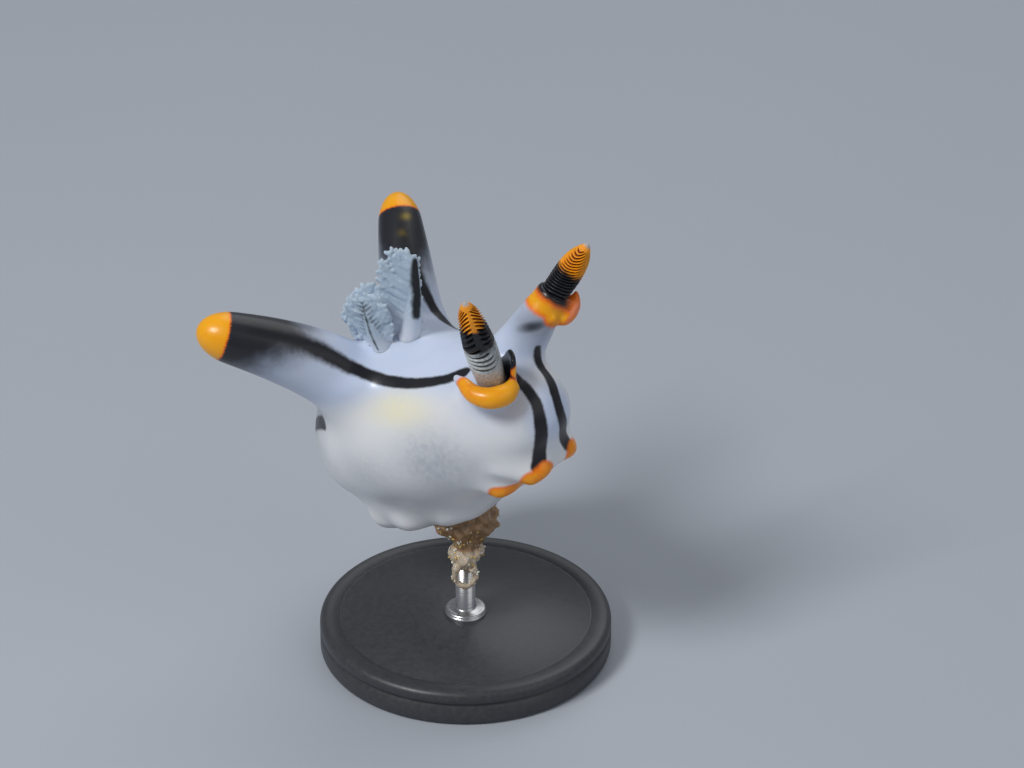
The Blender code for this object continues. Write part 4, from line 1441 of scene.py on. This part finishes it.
def branch_forms(path, reach, flat_hint, chance):
    """Shape one side branch: a soft stem with a row of rounded leaflets along each edge."""
    forms = [shell(tube(path, (0.20, 0.18, 0.13, 0.06), 12, 14, 0.8, 0.15, flat_hint))]
    leaflets = max(int(reach / 0.17), 2)
    for leaflet in range(leaflets):
        place = 0.35 + 0.63 * leaflet / leaflets
        foot = smooth_rows(path, place * 2)[0]
        tangent = unit(smooth_rows(path, min(place * 2 + 0.05, 2))[0] - foot + 1e-9)
        for side in (-1, 1):
            sideways = unit(np.cross(tangent, flat_hint)) * side
            lean = chance.normal(0.0, 0.20, 3)
            length = (0.30 - 0.12 * place) * (0.55 + 0.75 * chance.random())
            middle = foot + unit(sideways * 0.8 + tangent * 0.8 + lean) * length * 0.6
            peak = middle + unit(sideways * 0.4 + tangent + lean) * length * 0.5
            forms.append(shell(tube(np.array([foot, middle, peak]), (0.08, 0.085, 0.055), 8, 7, dome=0.3)))
    return forms


def plume_forms(plume, branches, chance):
    """Shape one gill plume: a stout rachis with two rows of frilled branches."""
    path, axis, outward = plume_path(plume)
    flat_hint = tuple(-outward + axis * 0.3)
    forms = [shell(tube(path, (0.75, 0.60, 0.42, 0.28, 0.12), 30, 50, dome=0.1))]
    for start, heading, reach in branch_starts(plume, branches):
        heading = unit(heading + chance.normal(0.0, 0.08, 3))
        forms += branch_forms(branch_path(start, heading, axis, reach), reach, flat_hint, chance)
    return forms


def plume_veins(plume, branches):
    """Give the black line on the plume's outer side and the veins at the foot of its branches."""
    path, axis, outward = plume_path(plume)
    half_width = plume[6]
    along = np.linspace(1.85 if half_width > BROAD_LINE else 1.5, 2.95, 90)
    away = np.interp(along, (1, 2, 3), (0.50, 0.34, 0.10))
    line = smooth_rows(path, along) + outward * away[:, None]
    widths = half_width * np.sin(np.linspace(0.5, 2.9, 90)) ** 0.4
    if half_width > BROAD_LINE:
        return line, widths
    for start, heading, reach in branch_starts(plume, branches):
        stem = smooth_rows(branch_path(start, heading, axis, reach), np.linspace(0.0, 0.8, 12))
        line = np.vstack([line, stem + outward * 0.17])
        widths = np.concatenate([widths, half_width * np.linspace(1.0, 0.3, 12)])
    return line, widths


def gill_material(settings):
    """Draw the gill: white roots, grey-blue frills and soft black lines."""
    sheet = NodeSheet("feathery_gill_flesh")
    fine = sheet.noise(8.0, 3.0, 0.6)
    rise = sheet.ramp(sheet.value("rise"), 0.05, 0.65)
    colour = sheet.blend(rise, settings.root, settings.frill)
    colour = sheet.blend(sheet.ramp(fine, 0.35, 0.75, 0.0, 0.4), colour, settings.mottle)
    edge = sheet.math("ADD", sheet.value("black"), sheet.swing(sheet.noise(3.5, 3.0), 2.0))
    colour = sheet.blend(sheet.ramp(edge, -1.0, 1.2), colour, settings.black)
    sheet.surface(colour, fine, 0.4, 0.6)
    flesh_shader(sheet, 0.7, 0.6, 0.05)
    sheet.bump(fine, 0.2, 0.02)
    return sheet.material


def loop_form(strand, offset):
    """Shape one strand of the small loop that hangs beside the perch."""
    across = np.array([math.cos(LOOP_FACING), math.sin(LOOP_FACING), 0.0])
    through = np.cross(across, (0, 0, 1))
    path = []
    for turned in LOOP_OPENING / 2 + (2 * math.pi - LOOP_OPENING) * np.arange(15) / 14:
        wiggle = 1 + 0.06 * math.sin(5 * turned + strand)
        path.append(
            np.array(LOOP_CENTRE)
            + across * LOOP_HALF_WIDTH * wiggle * math.sin(turned)
            + np.array([0.0, 0.0, LOOP_HALF_HEIGHT * wiggle * math.cos(turned)])
            + through * offset * math.sin(2.2 * turned)
        )
    return shell(tube(path, (0.16, 0.11, 0.10, 0.11, 0.16), 14, 80, hint=tuple(through)))


def perch_forms():
    """Shape the debris: a lumpy stem with its knob, and two strands that make a small loop."""
    cosine, sine = turns(90)
    turn = np.arctan2(sine, cosine)[:, 0]
    rings = []
    for x, y, height, radius in smooth_curve(PERCH_STATIONS, 90):
        lump = 0.12 * np.sin(3 * turn + 2.3 * height) + 0.07 * np.sin(7 * turn - 5.1 * height)
        lump += 0.05 * np.sin(11 * turn + 9.0 * height)
        reach = (radius * (1 + lump))[:, None]
        rings.append(np.hstack([x + reach * cosine, y + reach * sine, np.full((90, 1), height)]))
    strands = [loop_form(strand, offset) for strand, offset in enumerate(LOOP_STRANDS)]
    return [shell(np.array(rings)[:, ::-1]), *strands]


def grain_form(centre, radius, chance):
    """Shape one small angular flake of sand or shell."""
    rings = []
    for polar in (0.35, 1.0, 1.6, 2.2, 2.8):
        angle = 2 * np.pi * np.arange(6) / 6 + polar
        ring = np.stack([
            np.sin(polar) * np.cos(angle),
            np.sin(polar) * np.sin(angle),
            np.full(6, np.cos(polar)),
        ], axis=1)
        rings.append(ring)
    stretch = np.array([1.0 + 0.5 * chance.random(), 0.9, 0.35 + 0.5 * chance.random()])
    rings = np.array(rings)[::-1] * stretch
    rings = rings * radius * (0.7 + 0.6 * chance.random((5, 6, 1)))
    spin = Matrix.Rotation(chance.random() * 6.28, 3, Vector(chance.normal(size=3)).normalized())
    return shell(rings @ np.array(spin).T + centre)


def lumpy(points, normals):
    """Make the debris uneven."""
    waves = np.sin(points @ np.array([9.0, 4.0, 7.0])) * np.sin(points @ np.array([-5.0, 11.0, 6.0]))
    return points + normals * (0.035 * waves)[:, None]


def strewn(points, normals, count, chance):
    """Strew grains over the debris: the form of each, and the tone that its colour goes by."""
    odds = np.where(points[:, 2] > RARE_GRAINS_FROM, RARE_GRAINS_SHARE, 1.0)
    chosen = chance.choice(len(points), count, replace=False, p=odds / odds.sum())
    tones = np.where(chance.random(count) < GOLDEN_SHARE, GOLDEN_TONE, SANDY_TONE)
    forms = []
    for index in chosen:
        radius = GRAIN_RADIUS + GRAIN_RADIUS_RANGE * chance.random() ** 2
        forms.append(grain_form(points[index] + normals[index] * radius * 0.3, radius, chance))
    return forms, tones


def perch_material(settings):
    """Draw the debris: brown slimy web above, pale crust below, and bright grains."""
    sheet = NodeSheet("slimy_debris")
    fine = sheet.noise(6.0, 5.0, 0.65)
    broad = sheet.noise(1.6, 3.0)
    crusty = sheet.math("ADD", sheet.value("crust"), sheet.swing(broad, 1.0))
    colour = sheet.mottle(fine, settings.brown, settings.tan)
    colour = sheet.blend(sheet.ramp(crusty, 0.35, 0.8), colour, settings.crust)
    colour = sheet.blend(sheet.ramp(fine, 0.62, 0.75, 0.0, 0.8), colour, settings.dirt)
    grain = sheet.value("grain")
    colour = sheet.blend(sheet.ramp(grain, 0.1, 0.2), colour, settings.gold)
    colour = sheet.blend(sheet.ramp(grain, 0.5, 0.7), colour, settings.sand)
    sheet.surface(colour, fine, 0.25, 0.6)
    sheet.feed(sheet.shader, Subsurface_Weight=0.15, Subsurface_Scale=0.4 * MM, Coat_Weight=0.3)
    sheet.bump(fine, 0.6, 0.06)
    return sheet.material


def lathe(profile, sides):
    """Turn a profile of radius and height round the upright axis."""
    cosine, sine = turns(sides)
    rings = [
        np.hstack([radius * cosine, radius * sine, np.full((sides, 1), height)])
        for radius, height in profile
    ]
    return shell(np.array(rings))


def rounded(corner_radius, corner_height, size, start, end, steps=8):
    """Give the points of a rounded edge of a lathe profile, between two angles in degrees."""
    angles = np.radians(np.linspace(start, end, steps))
    return [
        (corner_radius + size * math.cos(angle), corner_height + size * math.sin(angle))
        for angle in angles
    ]


def base_profile(radius, bottom, top):
    """Give the base's profile: rounded edges, and a shallow groove round its side and its top."""
    foot = radius - BASE_LOWER_EDGE
    shoulder = BASE_UPPER_EDGE
    grooved = radius - SIDE_GROOVE_DEPTH
    sunk = top - TOP_GROOVE_DEPTH
    return [
        (radius * 0.5, bottom),
        (foot, bottom),
        *rounded(foot, bottom + BASE_LOWER_EDGE, BASE_LOWER_EDGE, -90, 0),
        (radius, top - 0.62),
        (grooved, top - 0.58),
        (grooved, top - 0.50),
        (radius, top - 0.46),
        *rounded(radius - shoulder, top - shoulder, shoulder, 0, 90, 12),
        (radius - 0.75, top),
        (radius - 0.80, sunk),
        (radius - 0.88, sunk),
        (radius - 0.93, top),
        (1.0, top),
    ]


def rod_profile(radius, bottom, top):
    """Give the rod's profile: a rounded collar at its foot, and the rod itself."""
    collar_top = bottom + 0.16
    return [
        (COLLAR_RADIUS, bottom - 0.1),
        (COLLAR_RADIUS, collar_top),
        *rounded(COLLAR_RADIUS - COLLAR_EDGE, collar_top, COLLAR_EDGE, 0, 90, 6),
        (radius + 0.06, bottom + 0.28),
        (radius, bottom + 0.34),
        (radius, top + ROD_IN_PERCH),
    ]


def metres(form):
    """Scale a form from millimetres to metres."""
    points, faces = form
    return points * MM, faces


def paint_material(settings):
    """Draw the satin paint of the base."""
    sheet = NodeSheet("satin_base_paint")
    fine = sheet.noise(5.0, 4.0, 0.6)
    colour = sheet.mottle(fine, settings.paint, settings.worn)
    sheet.surface(colour, fine, 0.36, 0.48)
    sheet.bump(fine, 0.10, 0.02)
    return sheet.material


def steel_material(settings):
    """Draw the rod's steel, brushed round its length."""
    sheet = NodeSheet("brushed_rod_steel")
    stretch = sheet.node("ShaderNodeMapping", Vector=sheet.place(), Scale=(1.0, 1.0, 14.0))
    lines = sheet.node(
        "ShaderNodeTexNoise", Vector=stretch.outputs["Vector"], Scale=2.0 / MM, Detail=5.0
    ).outputs["Fac"]
    colour = sheet.mottle(lines, settings.steel, settings.dull)
    sheet.surface(colour, lines, 0.22, 0.4)
    sheet.feed(sheet.shader, Metallic=1.0)
    sheet.bump(lines, 0.2, 0.01)
    return sheet.material


def floor_material(settings):
    """Draw the plain matt floor."""
    sheet = NodeSheet("plain_floor")
    soft = sheet.noise(0.05, 2.0)
    paler = tuple(min(part * 1.03, 1.0) for part in settings.floor)
    colour = sheet.blend(soft, tuple(settings.floor), paler)
    sheet.feed(sheet.shader, Base_Color=colour, Roughness=0.75)
    return sheet.material


class SLUG_OT_skin(bpy.types.Operator):
    """Build the one skin over the slug's flesh and paint its markings"""

    bl_idname = "sea_slug.skin"
    bl_label = "Skin"

    def execute(self, context):
        settings = context.scene.slug_skin
        points, quads, edges = fused(slug_forms(), settings.grain / MM)
        weight = sheath_weight(points)
        points = relaxed(points, edges, settings.softening, weight)
        points = filled(points, quads, edges, settings.filling, weight)
        piece = new_object("slug_skin", posed(points), quads.tolist())
        mark_skin(piece, points)
        nodes = ["head", "trunk", "tail_base", "tail_tip", "foot"]
        for side in ("right", "left"):
            nodes += [f"oral_lobe_{side}", f"foot_corner_{side}"]
            nodes += [f"process_{side}", f"rhinophore_sheath_{side}"]
        finish_piece(piece, nodes, skin_material(settings))
        return {"FINISHED"}


class SLUG_OT_rhinophores(bpy.types.Operator):
    """Build the two lamellate rhinophores in their sheaths"""

    bl_idname = "sea_slug.rhinophores"
    bl_label = "Rhinophores"

    def execute(self, context):
        settings = context.scene.slug_rhinophores
        material = rhinophore_material(settings)
        for name, shape in RHINOPHORES.items():
            grid, groove, height = rhinophore_surface(
                shape, settings.lamellae, settings.leaf_depth / MM
            )
            points, faces = shell(grid)
            piece = new_object(name + "_leaves", posed(points), faces)
            tone = np.interp(height.ravel(), (0.0, *shape["zones"], 1.0), (0.0, 1.0, 2.0, 3.0))
            keep_value(piece, "tone", [*tone, tone[0], tone[-1]])
            keep_value(piece, "groove", [*groove.ravel(), 0.0, 0.0])
            finish_piece(piece, [name], material)
        return {"FINISHED"}


class SLUG_OT_gill(bpy.types.Operator):
    """Build the gill's feathery plumes"""

    bl_idname = "sea_slug.gill"
    bl_label = "Gill"

    def execute(self, context):
        settings = context.scene.slug_gill
        material = gill_material(settings)
        chance = np.random.default_rng(GILL_SEED)
        for number, plume in enumerate(GILL_PLUMES, start=1):
            forms = plume_forms(plume, settings.branches, chance)
            points, quads, edges = fused(forms, settings.grain / MM)
            points = relaxed(points, edges, GILL_SOFTENING)
            piece = new_object(f"gill_plume_{number}_feather", posed(points), quads.tolist())
            path, axis, _ = plume_path(plume)
            length = np.linalg.norm(path[3] - path[1])
            rise = (points - path[1]) @ axis / length
            line, widths = plume_veins(plume, settings.branches)
            softness = 0.04 + 0.25 * widths
            keep_value(piece, "rise", np.clip(rise, 0, 1))
            keep_value(piece, "black", inside_line(points, line, widths, softness))
            finish_piece(piece, [f"gill_plume_{number}"], material)
        return {"FINISHED"}


class SLUG_OT_perch(bpy.types.Operator):
    """Build the scrap of debris that the foot grips"""

    bl_idname = "sea_slug.perch"
    bl_label = "Perch"

    def execute(self, context):
        settings = context.scene.slug_perch
        chance = np.random.default_rng(PERCH_SEED)
        points, quads, edges = fused(perch_forms(), settings.grain / MM)
        points = relaxed(points, edges, PERCH_SOFTENING)
        normals = point_normals(points, quads)
        points = lumpy(points, normals)
        grains, tones = strewn(points, normals, settings.grit, chance)
        shells = [(points, quads.tolist()), *grains]
        all_points, faces = joined(shells)
        piece = new_object("perch_debris", all_points * MM, faces)
        counts = [len(shell_points) for shell_points, _ in shells]
        keep_value(piece, "grain", np.repeat([0.0, *tones], counts))
        keep_value(piece, "crust", smooth_step(5.3, 4.7, all_points[:, 2]))
        finish_piece(piece, ["perch_stem"], perch_material(settings))
        return {"FINISHED"}


class SLUG_OT_stand(bpy.types.Operator):
    """Build the turned base and the brushed rod"""

    bl_idname = "sea_slug.stand"
    bl_label = "Stand"

    def execute(self, context):
        settings = context.scene.slug_stand
        low, high = (np.array(corner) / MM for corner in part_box("stand_base"))
        profile = base_profile(high[0], low[2], high[2])
        base = new_object("stand_base_turned", *metres(lathe(profile, 200)))
        finish_piece(base, ["stand_base"], paint_material(settings))
        base_top = high[2]
        low, high = (np.array(corner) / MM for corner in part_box("stand_rod"))
        profile = rod_profile(high[0], base_top, high[2])
        rod = new_object("stand_rod_brushed", *metres(lathe(profile, 96)))
        finish_piece(rod, ["stand_rod"], steel_material(settings))
        return {"FINISHED"}


class SLUG_OT_stage(bpy.types.Operator):
    """Build the floor, the lights and the camera"""

    bl_idname = "sea_slug.stage"
    bl_label = "Stage"

    def execute(self, context):
        settings = context.scene.slug_stage
        corners = FLOOR_HALF_WIDTH * np.array([(-1, -1, 0), (1, -1, 0), (1, 1, 0), (-1, 1, 0)])
        floor = new_object("studio_floor", corners, [[0, 1, 2, 3]])
        floor.data.materials.append(floor_material(settings))
        world = bpy.data.worlds.new("soft_studio")
        world.use_nodes = True
        background = world.node_tree.nodes["Background"]
        background.inputs["Color"].default_value = SKY_COLOUR
        background.inputs["Strength"].default_value = SKY_STRENGTH
        context.scene.world = world
        context.scene.view_settings.view_transform = "Standard"
        add_camera(settings)
        for name, azimuth, elevation, size in LIGHTS:
            add_light(f"{name}_light", azimuth, elevation, size, getattr(settings, name))
        return {"FINISHED"}


def view_direction(azimuth, elevation):
    """Give the direction from the slug towards a camera or lamp."""
    return Vector((
        math.sin(azimuth) * math.cos(elevation),
        -math.cos(azimuth) * math.cos(elevation),
        math.sin(elevation),
    ))


def add_camera(settings):
    """Set the camera at the photograph's angle and scale."""
    data = bpy.data.cameras.new("camera")
    camera = bpy.data.objects.new("camera", data)
    bpy.context.scene.collection.objects.link(camera)
    back = view_direction(settings.azimuth, settings.elevation)
    right = Vector((math.cos(settings.azimuth), math.sin(settings.azimuth), 0.0))
    up = back.cross(right)
    centre = Vector((TRUNK_OFFSET[0], TRUNK_OFFSET[1], TRUNK_HEIGHT)) * MM
    centre += (right * VIEW_CENTRE_SHIFT[0] + up * VIEW_CENTRE_SHIFT[1]) * MM
    camera.location = centre + back * settings.distance
    camera.rotation_euler = back.to_track_quat("Z", "Y").to_euler()
    width = PIXELS_ACROSS / settings.pixels_per_mm * MM
    data.sensor_width = SENSOR_WIDTH
    data.lens = SENSOR_WIDTH * settings.distance / width
    data.clip_start = CLIP_START
    bpy.context.scene.camera = camera


def add_light(name, azimuth, elevation, size, power):
    """Hang a square soft light round the slug, at its height and facing it."""
    data = bpy.data.lights.new(name, "AREA")
    data.size = size
    data.energy = power
    lamp = bpy.data.objects.new(name, data)
    bpy.context.scene.collection.objects.link(lamp)
    direction = view_direction(math.radians(azimuth), math.radians(elevation))
    lamp.location = Vector((0.0, 0.0, TRUNK_HEIGHT * MM)) + direction * LIGHT_DISTANCE
    lamp.rotation_euler = direction.to_track_quat("Z", "Y").to_euler()


class SLUG_PT_panel(bpy.types.Panel):
    """The sea slug's pieces and their settings"""

    bl_idname = "SLUG_PT_panel"
    bl_label = "Sea Slug"
    bl_space_type = "VIEW_3D"
    bl_region_type = "UI"
    bl_category = "Sea Slug"

    def draw(self, context):
        for group, _, operator in PIECES:
            box = self.layout.box()
            box.operator(operator.bl_idname)
            settings = getattr(context.scene, group)
            for name in settings.bl_rna.properties.keys():
                if name not in ("rna_type", "name"):
                    box.prop(settings, name)


PIECES = (
    ("slug_skin", SlugSkinSettings, SLUG_OT_skin),
    ("slug_rhinophores", RhinophoreSettings, SLUG_OT_rhinophores),
    ("slug_gill", GillSettings, SLUG_OT_gill),
    ("slug_perch", PerchSettings, SLUG_OT_perch),
    ("slug_stand", StandSettings, SLUG_OT_stand),
    ("slug_stage", StageSettings, SLUG_OT_stage),
)


def register():
    """Make the settings, the operators and the panel known to Blender."""
    for name, settings, operator in PIECES:
        bpy.utils.register_class(settings)
        setattr(bpy.types.Scene, name, PointerProperty(type=settings))
        bpy.utils.register_class(operator)
    bpy.utils.register_class(SLUG_PT_panel)


def unregister():
    """Take the settings, the operators and the panel away again."""
    bpy.utils.unregister_class(SLUG_PT_panel)
    for name, settings, operator in PIECES:
        bpy.utils.unregister_class(operator)
        delattr(bpy.types.Scene, name)
        bpy.utils.unregister_class(settings)


def main():
    """Build every piece."""
    register()
    bpy.ops.sea_slug.skin()
    bpy.ops.sea_slug.rhinophores()
    bpy.ops.sea_slug.gill()
    bpy.ops.sea_slug.perch()
    bpy.ops.sea_slug.stand()
    bpy.ops.sea_slug.stage()


if __name__ == "__main__":
    main()
